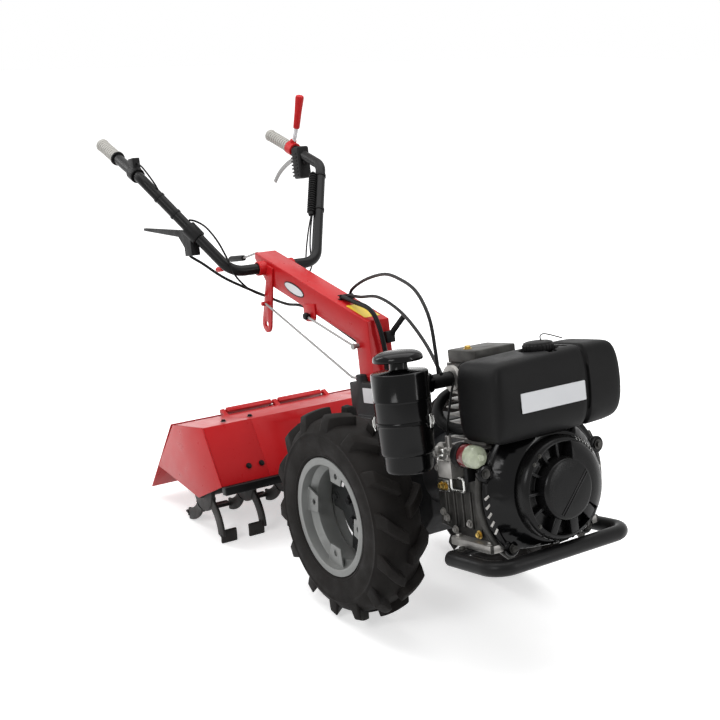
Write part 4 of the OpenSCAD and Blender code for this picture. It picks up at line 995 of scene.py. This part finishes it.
class TRACTOR_OT_flywheel(bpy.types.Operator):
    """Glossy flywheel cover with its ears and slots, and the moulded recoil starter on it"""

    bl_idname = "tractor.flywheel"
    bl_label = "Flywheel cover and starter"

    def execute(self, context):
        self.shroud()
        self.starter()
        return {"FINISHED"}

    def shroud(self):
        skin("flywheel_shroud", "shroud_cover", "cover", 3.2, 3, 24, smooth=40)
        ears = [((453, side * y, CRANK_Z + z), AHEAD) for side in (-1, 1) for y, z in ((156, 56), (104, -112))]
        on_chassis(bolts(ears, 7.5, 6), "shroud_bolts", "dark_casting")
        # the edge of the case behind the cover, on both sides
        edge = [(150, 0), (172, 0), (174, 1.5), (174, 6.5), (172, 8), (150, 8)]
        rims = [moved(arc_piece(edge, start, 86, 40), on_crank(431.5)) for start in (34, 240)]
        on_chassis(joined(*rims), "case_rim", "dark_casting")
        # a curved row of bright fins at the lower edge of both sides
        fins = copies(soft_block((-6.5, -3, 0), (6.5, 3, 2.4), 0.8), [
            on_crank(447.6, degrees) @ Matrix.Translation((156.5, 0, 0)) @ spun(28)
            for degrees in (268, 275, 282, 289, 296, 92, 85, 78, 71, 64)])
        on_chassis(fins, "shroud_fins", "casting")

    def starter(self):
        outline = [
            (0, 0), (110, 0), (110, 14), (108.6, 19), (106, 23.5), (102.5, 26.8), (99.4, 28.2), (97.2, 27.6),
            (96, 25), (95.4, 14), (94, 10), (71, 9), (68.6, 10), (67.4, 14), (65, 34), (63.6, 38), (60.5, 40.6),
            (56, 41.6), (30, 42), (0, 42)]
        body = moved(turned(outline, 96), on_crank(RECOIL_X0))
        on_chassis(body, "starter_body", "recoil", "recoil_starter", 34)
        # the smooth panel that joins the raised middle to the rim on one side
        panel = arc_piece([(58, 8), (58, 41), (78, 38.6), (95, 33), (101.5, 27), (101, 8)], 54, 112, 36)
        rounded(panel, 2, 3)
        on_chassis(moved(panel, on_crank(RECOIL_X0)), "starter_panel", "recoil", smooth=40)
        # narrow arms across the dark ring, then wide ones below
        arms = []
        for degrees, half, top in (
                (186, 3.4, 24), (212, 3.4, 24), (240, 3.4, 24), (268, 3.4, 24), (296, 3.4, 24),
                (44, 13, 35), (10, 11, 33), (-26, 9, 31)):
            arm = block((62, -half, 6), (99, half, top))
            edit(arm)
            choose(arm, lambda v: v.co.x > 90 and v.co.z > 10, "VERT")
            bpy.ops.transform.translate(value=(0, 0, min(0, 27 - top)))
            done(arm)
            rounded(arm, min(2.6, half * 0.5), 3)
            arms.append(moved(arm, on_crank(RECOIL_X0, degrees)))
        on_chassis(joined(*arms), "starter_arms", "recoil", smooth=40)
        # two fine ridges that cross the face
        ridges = []
        for offset in (-12.5, -18.5):
            reach = math.sqrt(57 ** 2 - offset ** 2)
            ridge = soft_block((-reach, offset - 1.3, 40.6), (reach, offset + 1.3, 43.2), 0.9)
            ridges.append(moved(ridge, on_crank(RECOIL_X0, 136.6)))
        on_chassis(joined(*ridges), "starter_ridges", "recoil")
        # the slanted slots below as near-black blocks of painted shade, and the bright screen at the upper side
        slots = copies(soft_block((-6, -2.2, -1.2), (6, 2.2, 1.4), 0.8), [
            on_crank(RECOIL_X0 + 21, degrees) @ Matrix.Translation((107, 0, 0)) @ spun(55, "Y") @ spun(38)
            for degrees in range(-38, 17, 9)])
        on_chassis(slots, "starter_slot_shade", "slot_dark")
        bars = copies(soft_block((-7, -0.9, 0), (7, 0.9, 1.6), 0.5), [
            on_crank(RECOIL_X0 + 22, degrees) @ Matrix.Translation((107, 0, 0)) @ spun(52, "Y")
            for degrees in range(126, 157, 5)])
        on_chassis(bars, "starter_screen", "steel")
        screws = [((512.5, SCREW_R * math.cos(a), CRANK_Z + SCREW_R * math.sin(a)), AHEAD)
                  for a in (math.radians(v) for v in (140, 219, 128, 300))]
        on_chassis(bolts(screws, 3.2, 2.4), "starter_screws", "dark_casting")


# Air cleaner

CLEANER = (300.0, -235.0, 136.0)
INTAKE_Z = 311


class TRACTOR_OT_air_cleaner(bpy.types.Operator):
    """Oil-bath air cleaner: bowl, body with its rim and clips, and rain cap"""

    bl_idname = "tractor.air_cleaner"
    bl_label = "Air cleaner"

    def execute(self, context):
        at = Matrix.Translation(CLEANER)
        bowl = turned([
            (0, 0), (42, 0), (46.6, 1), (49.4, 4), (50.8, 10), (51.8, 36), (53, 38.4), (55.6, 39.6), (57, 42),
            (57.6, 48), (59.6, 101), (60.4, 102.3), (61.4, 103.6), (61.4, 108), (60.6, 110), (0, 110)], 72)
        on_chassis(moved(bowl, at), "cleaner_bowl", "cover", "air_cleaner_bowl", 36)
        body = turned([
            (0, 110), (59.2, 110), (59.6, 112), (60.2, 150), (60.3, 152.6), (60.9, 153.4), (60.9, 156.4),
            (60.4, 157.2), (61, 206), (60.4, 209.5), (57.5, 212), (52, 213.2), (24, 214), (20.4, 215.4), (19, 218),
            (19, 235), (0, 235)], 72)
        boss = turned([(0, 0), (19, 0), (19, 64), (21.5, 65), (21.5, 74), (20, 75), (0, 75)], 36)
        boss = moved(boss, Matrix.Translation((CLEANER[0], CLEANER[1], INTAKE_Z)) @ spun(-90, "X"))
        on_chassis(joined(moved(body, at), boss), "cleaner_body", "cover", "air_cleaner", 36)
        cap = turned([
            (0, 235), (44, 235), (46.4, 233.6), (50.6, 233.4), (52.7, 234.8), (53.2, 238.4), (52, 243.4),
            (48.5, 248), (42, 251.8), (33, 254.4), (22, 255.7), (10, 256.1), (0, 256.1)], 72)
        on_chassis(moved(cap, at), "cleaner_cap", "cover", "air_cleaner_cap", 36)
        ear = soft_block((60.6, -6.5, 92), (63.4, 6.5, 121), 1.1)
        hook = curve_tube([
            (62, -7, 96), (65, -7, 104), (64.6, -7, 115), (64.6, 7, 115), (65, 7, 104), (62, 7, 96)], 1.5, 8)
        clips = copies(joined(ear, hook), [at @ spun(degrees) for degrees in (232, 28)])
        on_chassis(clips, "cleaner_clips", "steel")
        return {"FINISHED"}


# Engine

CASE_SIDE = 132


class TRACTOR_OT_engine(bpy.types.Operator):
    """Castings, cylinder fins, pump, fuel filter, silencer and pipes"""

    bl_idname = "tractor.engine"
    bl_label = "Engine"

    def execute(self, context):
        edge = context.scene.tractor_sizes.edge_round
        for node, name, finish, width, slot in (
                ("crankcase", "crankcase_cast", "dark_casting", edge * 1.3, None),
                ("cylinder", "cylinder_finned", "casting", 0.9, "barrel_iron"),
                ("rocker_cover", "rocker_cast", "dark_casting", edge * 2.2, None),
                ("injection_pump", "pump_body", "casting", edge, None),
                ("muffler", "muffler_shell", "muffler", edge * 1.4, None),
                ("intake_pipe", "intake_elbow", "trim", edge, None),
                ("gearbox", "gearbox_cast", "iron", edge * 2.4, None),
                ("clutch_housing", "clutch_bell", "iron", edge * 1.5, None)):
            skin(node, name, finish, width, 3, slot=slot)
        self.filter()
        self.case()
        self.stop_bracket()
        self.pipes()
        return {"FINISHED"}

    def filter(self):
        place = Matrix.Translation((386, -166, 166)) @ ALONG_X
        head = turned([(0, -1), (24, -1), (26, 0.5), (26.4, 3), (26.4, 16), (25, 18), (0, 18)], 40)
        arm = soft_block((391.7, -166, 108), (405, -125, 150), 2.5)
        on_chassis(joined(moved(head, place), arm), "filter_head", "trim", "fuel_filter")
        red = turned([(0, 18), (22.8, 18), (23.8, 19.4), (24.2, 37), (23.8, 38), (0, 38)], 40)
        on_chassis(moved(red, place), "filter_body", "filter_red")
        pale = turned([
            (0, 38), (23.6, 38), (24, 39.4), (23.6, 56), (22, 61), (17, 64.4), (9, 65.4), (7, 67), (7, 72), (6, 73),
            (0, 73)], 40)
        on_chassis(moved(pale, place), "filter_end", "filter_pale")

    def case(self):
        right = ((262, 20), (273, 8), (300, -14), (352, 6), (425, 128), (258, 118))
        places = [((x, -CASE_SIDE, z), RIGHT) for x, z in right]
        places += [((x, CASE_SIDE, z), LEFT) for x in (262, 340, 424) for z in (14, 124)]
        places += [((x, side * 140, -25), UP) for side in (-1, 1) for x in (318, 424)]
        on_chassis(bolts(places, 6.5, 5), "engine_bolts", "casting")
        flange = rounded(soft_plate((298, -152, -42), (441, 152, -25), 2, 12, 5), 2.2)
        on_chassis(flange, "engine_flange", "casting")

    def stop_bracket(self):
        """A bent wire frame with an eye, a plate, a ring and a pad beside it, and the plugs below."""
        wire = curve_tube([
            (306, -133, 74), (302, -133, 79), (302, -133, 97), (306, -133, 102), (342, -133, 102), (346, -133, 97),
            (346, -133, 79), (342, -133, 74)], 3.4, 12, True)
        eye = wire_ring((325, -134, 111), 8, 2.4, 20)
        stay = soft_block((248, -130, 64), (286, -125, 92), 1.6)
        ring = wire_ring((302, -152, 138), 14, 3.0, 24)
        pad = soft_block((296, -150, 146), (312, -128, 166), 2.4, 3)
        on_chassis(joined(wire, eye, stay, ring, pad), "stop_bracket", "steel")
        plugs = [(place, RIGHT) for place in ((381, -132, -13), (262, -131, 78), (276, -131, 78))]
        on_chassis(bolts(plugs, 6.5, 6), "engine_plugs", "brass")

    def pipes(self):
        """Cast bosses of the pump and of the clutch end, the pipes, and the bolts of the head."""
        lumps = []
        for point, way, radius, height in (
                ((286, -126, 158), (0, -1, 0.2), 17, 26), ((330, -146, 150), (0.2, -1, 0.3), 14, 20),
                ((262, -126, 150), RIGHT, 13, 18), ((226, -84, 30), RIGHT, 21, 22), ((414, -126, 60), RIGHT, 16, 10)):
            lump = turned([
                (0, 0), (radius, 0), (radius, height * 0.55), (radius * 0.92, height * 0.68),
                (radius * 0.55, height * 0.72), (radius * 0.5, height), (radius * 0.4, height * 1.04),
                (0, height * 1.04)], 28)
            lumps.append(moved(lump, aimed(point, way)))
        on_chassis(joined(*lumps), "engine_bosses", "casting")
        pipe = curve_tube(smooth_line([
            (322, -144, 196), (322, -144, 214), (318, -132, 244), (312, -112, 292), (312, -90, 332),
            (312, -60, 346)]), 2.6, 10)
        on_chassis(pipe, "injector_pipe", "trim")
        elbow = curve_tube(smooth_line([
            (258, -84, 272), (258, -104, 262), (264, -122, 240), (286, -128, 218), (318, -122, 206),
            (346, -104, 204)]), 12, 16)
        on_chassis(elbow, "breather_elbow", "trim")
        collar = turned([(16.2, 0), (27, 0), (28, 1), (28, 9), (27, 10), (16.2, 10), (16.2, 0)], 36)
        on_chassis(moved(collar, aimed((300, -96, INTAKE_Z), RIGHT)), "intake_collar", "casting")
        heads = [((x, y, 339), UP) for x in (262, 350) for y in (-66, 48)]
        on_chassis(bolts(heads, 7.5, 6), "head_bolts", "steel")
        on_chassis(bolts([((306, -56, 368), UP)], 7, 6), "rocker_nuts", "brass")


class TRACTOR_OT_bumper(bpy.types.Operator):
    """Bent bumper tube under the engine's feet"""

    bl_idname = "tractor.bumper"
    bl_label = "Bumper"

    def execute(self, context):
        ends = [(340, -183, -58.5), (494, -183, -58.5), (494, 183, -58.5), (340, 183, -58.5)]
        tube = curve_tube(bent_line(ends, 42, 12), 16.5, 36)
        plates = [soft_block((340, low, -50), (380, high, -42), 1.2) for low, high in ((-183, -110), (110, 183))]
        on_chassis(joined(tube, *plates), "bumper_tube", "tube", "front_bumper", 50)
        places = [((360, side * 166, -42), UP) for side in (-1, 1)]
        on_chassis(bolts(places, 7.5, 6), "bumper_bolts", "dark_casting")
        return {"FINISHED"}


# Column, handlebar and controls

SLOPE = math.radians(19.8)
KNEE = Vector((-115, 0, 422))
BEAM = Vector((-math.cos(SLOPE), 0, math.sin(SLOPE)))
BEAM_UP = Vector((math.sin(SLOPE), 0, math.cos(SLOPE)))
COLUMN_SIDE = -33
BADGE = KNEE + BEAM * 350 - BEAM_UP * 35 + Vector((0, COLUMN_SIDE, 0))
ON_BEAM = Matrix.Translation(KNEE) @ Matrix((
    (BEAM.x, 0, BEAM_UP.x, 0), (0, -1, 0, 0), (BEAM.z, 0, BEAM_UP.z, 0), (0, 0, 0, 1)))
BESIDE_BEAM = Matrix.Translation(BADGE) @ Matrix((
    (BEAM.x, BEAM_UP.x, 0, 0), (0, 0, -1, 0), (BEAM.z, BEAM_UP.z, 0, 0), (0, 0, 0, 1)))


class TRACTOR_OT_column(bpy.types.Operator):
    """Folded red column with its arm, latch, rods, stickers and cable clip"""

    bl_idname = "tractor.column"
    bl_label = "Column"

    def execute(self, context):
        edge = context.scene.tractor_sizes.edge_round
        skin("column", "column_folded", "red", edge * 1.2, 3, 28)
        skin("selector_arm", "arm_strap", "red", 1.2)
        skin("column_latch", "latch_handle", "trim", edge * 1.5)
        rods = frame["nodes"]["shift_rods"].data.materials
        rods.clear()
        rods.append(FINISHES["pale"])
        black = turned([(0, 0), (7, 0), (8.2, 1.2), (8.6, 10), (9, 40), (9, 80), (8, 85.4), (5, 87.6), (0, 88)], 28)
        red = turned([(0, 0), (5.5, 0), (6.5, 1), (7.2, 8), (8, 24), (7.8, 32), (6, 37.4), (3, 39.6), (0, 40)], 28)
        for knob, end, name, finish in ((black, (-759, -16, 603.4), "shift_grip", "trim"),
                                        (red, (-907, -16, 575.4), "shift_knob", "lever_red")):
            on_chassis(moved(knob, aimed(end, BACK)), name, finish, "shift_handles", 40)
        self.stickers()
        clip = joined(soft_block((-272, -16, 474), (-256, 30, 477.5), 1),
                      soft_block((-270, -14, 484), (-258, 28, 487), 1))
        on_chassis(clip, "cable_clip", "trim")
        self.bracket()
        return {"FINISHED"}

    def bracket(self):
        """The small bracket below the beam, with the ball joint and the rod that start there."""
        plate = rounded(soft_plate((-29, -37, -16), (29, COLUMN_SIDE, 30), 1, 15, 5, 0), 0.8)
        on_chassis(moved(plate, Matrix.Translation((-383, 0, 437))), "rod_bracket", "red")
        ball = turned([(0, 0), (5, 0), (5, 4), (8, 5), (10, 9), (10, 13), (8, 17), (5, 18), (0, 18)], 28)
        on_chassis(moved(ball, aimed((-383, -37, 437), RIGHT)), "rod_ball", "trim")
        rod = post((-378, -46, 434), (-168, -46, 362), 3, 16)
        pin = turned([(0, 0), (6, 0), (6, 14), (8, 15), (8, 20), (0, 20)], 24)
        on_chassis(joined(rod, moved(pin, aimed((-166, -31, 361), RIGHT))), "rod_link", "pale")

    def stickers(self):
        """Blank ones: on the beam's top, on its side as an oval badge, and on the gearbox tower."""
        on_chassis(moved(soft_plate((24.0, -23, 0.0), (112.0, 23, 0.8), 2, 3), ON_BEAM), "column_sticker", "yellow")
        for reach, half, out, finish, name in (
                (52, 15.5, 0.9, "trim", "badge_edge"), (48, 11.5, 1.5, "label", "badge_blank")):
            plate = post((0, 0, 0), (0, 0, out), 1, 64)
            edit(plate)
            take_all()
            bpy.ops.transform.resize(value=(reach, half, 1), center_override=(0, 0, 0))
            done(plate)
            rounded(plate, 0.3, 2, 50)
            on_chassis(moved(plate, BESIDE_BEAM), name, finish)
        on_chassis(soft_plate((-129, -59, 223), (-83, -57.7, 260), 1, 2), "tower_tag", "label")


BAR_R = 15
BAR = {side: [Vector((-608.526, side * 136, 570.984)), Vector((-778.526, side * 292, 852.984)),
              Vector((-1056.026, side * 284, 979.984))] for side in (-1, 1)}
GRIP_L = 125


def bar_high(side, share):
    return BAR[side][1].lerp(BAR[side][2], share)


def bar_low(side, share):
    return BAR[side][0].lerp(BAR[side][1], share)


def strap(side, share, half):
    """A tie around the rising part of the bar."""
    ring = sleeve_ring(BAR_R + 0.2, BAR_R + 2, -half, half)
    return moved(ring, aimed(bar_low(side, share), BAR[side][1] - BAR[side][0]))


class TRACTOR_OT_handlebar(bpy.types.Operator):
    """Bent black bar with pale grips, levers, switch box and red stop lever"""

    bl_idname = "tractor.handlebar"
    bl_label = "Handlebar"

    def execute(self, context):
        edge = context.scene.tractor_sizes.edge_round
        ends = {side: BAR[side][2] - (BAR[side][2] - BAR[side][1]).normalized() * 5 for side in SIDES}
        run = [ends[-1], BAR[-1][1], BAR[-1][0], BAR[1][0], BAR[1][1], ends[1]]
        on_chassis(curve_tube(bent_line(run, 60, 10), BAR_R, 36), "bar_tube", "tube", "handlebar", 50)
        for side, word in SIDES.items():
            self.grip(side, word)
        skin("clutch_lever", "clutch_blade", "trim", edge, 3)
        skin("throttle_control", "throttle_box", "trim", edge * 1.5, 3)
        self.switch_box()
        self.stop_lever()
        self.boot()
        self.throttle_wire()
        return {"FINISHED"}

    def switch_box(self):
        middle = bar_high(1, 0.39)
        low = middle + Vector((-23, -20, -78))
        high = middle + Vector((23, 20, 20))
        box = soft_block(low, high, 7, 4)
        ribs = []
        for k in range(7):
            z = low.z + 8 + k * 11
            ribs.append(soft_block((low.x - 3, low.y - 2, z), (high.x - 14, high.y + 2, z + 5.5), 2.2, 3))
        knob = turned([(0, 0), (9, 0), (9, 6), (7, 9), (0, 9.6)], 24)
        knob = moved(knob, aimed((high.x, middle.y, middle.z - 30), AHEAD))
        on_chassis(joined(box, *ribs, knob), "switch_box", "trim", "brake_lever", 40)
        route = [(-16, -14), (-46, -16), (-80, -22), (-116, -34), (-150, -50), (-178, -70)]
        blade = curve_tube(smooth_line([middle + Vector((x, 0, z)) for x, z in route], 5), 7.5, 16)
        edit(blade)
        take_all()
        bpy.ops.transform.resize(value=(1, 0.62, 1), center_override=middle)
        done(blade)
        on_chassis(blade, "brake_blade", "pale", smooth=50)

    def stop_lever(self):
        middle = bar_high(1, 0.54)
        foot = middle + Vector((38, 0, 58))
        tip = middle + Vector((82, 0, 152))
        way = (tip - foot).normalized()
        length = (tip - foot).length
        sleeve = turned([
            (0, 0), (9, 0), (10, 1.5), (10.4, 6), (11.2, length * 0.5), (13, length * 0.82), (13.4, length * 0.93),
            (12, length * 0.98), (8, length), (0, length + 0.6)], 32)
        collar = turned([
            (15.3, -16), (20, -16), (21.4, -14.5), (21.4, 14.5), (20, 16), (15.3, 16), (15.3, -16)], 36)
        horn = rounded(post(middle + way * 14, middle + way * 30, 10, 24), 2, 3)
        sleeve = moved(sleeve, aimed(foot, way))
        collar = moved(collar, aimed(middle, BAR[1][2] - BAR[1][1]))
        on_chassis(joined(sleeve, collar, horn), "stop_handle", "lever_red", "stop_lever", 40)
        stem = turned([(0, 0), (6.4, 0), (6.4, 38), (7.4, 39), (7.4, 48), (6.4, 49), (6.4, 71), (0, 71)], 24)
        on_chassis(moved(stem, aimed(middle, foot - middle)), "stop_stem", "label")

    def boot(self):
        """The ribbed boot of the two cables beside the left bar, with its ties."""
        aside = Vector((0, -26, 0))
        top, foot = bar_low(1, 0.92) + aside, bar_low(1, 0.475) + aside
        length = (foot - top).length
        outline = [(0, -2), (6, -2), (7, 0)]
        count = 17
        for k in range(count):
            z = 4 + k * (length - 12) / count
            outline += [(8, z), (12.4, z + 2.4), (12.4, z + 4.4), (8, z + 6.8)]
        outline += [(8, length - 4), (7, length), (0, length)]
        pieces = [moved(turned(outline, 28), aimed(top, foot - top))]
        for share in (0.88, 0.52):
            at = bar_low(1, share)
            pieces.append(strap(1, share, 4))
            pieces.append(rounded(post(at + Vector((0, -12, 0)), at + Vector((0, -24, 0)), 3, 12), 0.8))
        on_chassis(joined(*pieces), "cable_boot", "trim", smooth=40)

    def throttle_wire(self):
        """The throttle's wire, strapped under the right bar."""
        under = Vector((6, 15, -12))
        line = [
            bar_high(-1, 0.14) + Vector((17, 0, 30)), bar_high(-1, 0.1) + Vector((34, 6, 16)),
            bar_low(-1, 0.93) + Vector((24, 12, 0)), *(bar_low(-1, share) + under for share in (0.84, 0.72, 0.56))]
        wire = curve_tube(smooth_line(line), 2.4, 8)
        ties = [strap(-1, share, 3) for share in (0.62, 0.8)]
        on_chassis(joined(wire, *ties), "throttle_wire", "hose")

    def grip(self, side, word):
        tip = BAR[side][2]
        way = (tip - BAR[side][1]).normalized()
        at = aimed(tip - way * GRIP_L, way)
        outline = [(0, 0), (19.5, 0), (21, 1.5), (21, 5), (18.4, 7)]
        for k in range(9):
            z = 12 + k * 11.5
            outline += [(18.4, z), (16.8, z + 0.8), (16.8, z + 3.4), (18.4, z + 4.2)]
        outline += [(18.6, 117), (19.4, 119), (19.4, 122), (18, 124.4), (14, GRIP_L), (0, GRIP_L)]
        on_chassis(moved(turned(outline, 40), at), f"grip_ribbed_{word}", "grip", f"grip_{word}", 36)
        ring = turned([(15.2, -5), (19, -5), (20.4, -4), (20.4, 1.4), (19, 2.4), (15.2, 2.4), (15.2, -5)], 36)
        on_chassis(moved(ring, at), f"grip_collar_{word}", "trim")


# Tiller

HOOD_FRONT_WAY = (0.892, 0, 0.452)
HOOD_TOP_WAY = (0.04, 0, 1)


class TRACTOR_OT_tiller(bpy.types.Operator):
    """Folded red hood, hinged flap, drive case and cross beam"""

    bl_idname = "tractor.tiller"
    bl_label = "Tiller hood"

    def execute(self, context):
        for node, name, body in (
                ("hood_front", "hood_front_sheet", "chassis"), ("hood_top", "hood_top_sheet", "chassis"),
                ("hood_side_right", "hood_end_right", "chassis"), ("hood_side_left", "hood_end_left", "chassis"),
                ("rear_flap", "flap_sheet", "flap")):
            skin(node, name, "red", 0.9, body=body)
        skin("tiller_case", "tiller_drive", "iron", 2.6, 3)
        skin("tiller_beam", "tiller_cross_beam", "tube", 1.6)
        places = [((-540, y, 179.5), HOOD_TOP_WAY) for y in (-250, -170, 170, 250)]
        places += [((-445, side * y, 66), HOOD_FRONT_WAY) for side in (-1, 1) for y in (238, 200)]
        on_chassis(bolts(places, 5.5, 4), "hood_bolts", "trim")
        return {"FINISHED"}


class TRACTOR_OT_rotor(bpy.types.Operator):
    """Dark forged tines on their flanges"""

    bl_idname = "tractor.rotor"
    bl_label = "Tine rotor"

    def execute(self, context):
        skin("tine_rotor", "tines_forged", "tine", 3.0, 3, body="rotor", smooth=30)
        return {"FINISHED"}


class TRACTOR_PT_pieces(bpy.types.Panel):
    """Lists the pieces of the tractor"""

    bl_label = "Walking tractor"
    bl_idname = "TRACTOR_PT_pieces"
    bl_space_type = "VIEW_3D"
    bl_region_type = "UI"
    bl_category = "Tractor"

    def draw(self, context):
        for settings in (context.scene.tractor_sizes, context.scene.tractor_colours, context.scene.tractor_stage):
            for name in settings.bl_rna.properties.keys():
                if name not in ("name", "rna_type"):
                    self.layout.prop(settings, name)
        for operator in OPERATORS:
            self.layout.operator(operator.bl_idname)


OPERATORS = (
    TRACTOR_OT_stage, TRACTOR_OT_cables, TRACTOR_OT_tyres, TRACTOR_OT_wheels, TRACTOR_OT_fuel_tank,
    TRACTOR_OT_flywheel, TRACTOR_OT_air_cleaner, TRACTOR_OT_engine, TRACTOR_OT_bumper, TRACTOR_OT_column,
    TRACTOR_OT_handlebar, TRACTOR_OT_tiller, TRACTOR_OT_rotor)
CLASSES = (TractorSizes, TractorColours, TractorStage, *OPERATORS, TRACTOR_PT_pieces)


def register():
    for item in CLASSES:
        bpy.utils.register_class(item)
    bpy.types.Scene.tractor_sizes = PointerProperty(type=TractorSizes)
    bpy.types.Scene.tractor_colours = PointerProperty(type=TractorColours)
    bpy.types.Scene.tractor_stage = PointerProperty(type=TractorStage)


def unregister():
    for name in ("tractor_sizes", "tractor_colours", "tractor_stage"):
        delattr(bpy.types.Scene, name)
    for item in reversed(CLASSES):
        bpy.utils.unregister_class(item)


def main():
    register()
    make_finishes(bpy.context.scene.tractor_colours)
    bpy.ops.tractor.stage()
    bpy.ops.tractor.cables()
    bpy.ops.tractor.tyres()
    bpy.ops.tractor.wheels()
    bpy.ops.tractor.fuel_tank()
    bpy.ops.tractor.flywheel()
    bpy.ops.tractor.air_cleaner()
    bpy.ops.tractor.engine()
    bpy.ops.tractor.bumper()
    bpy.ops.tractor.column()
    bpy.ops.tractor.handlebar()
    bpy.ops.tractor.tiller()
    bpy.ops.tractor.rotor()
    clear_selection()


if __name__ == "__main__":
    main()
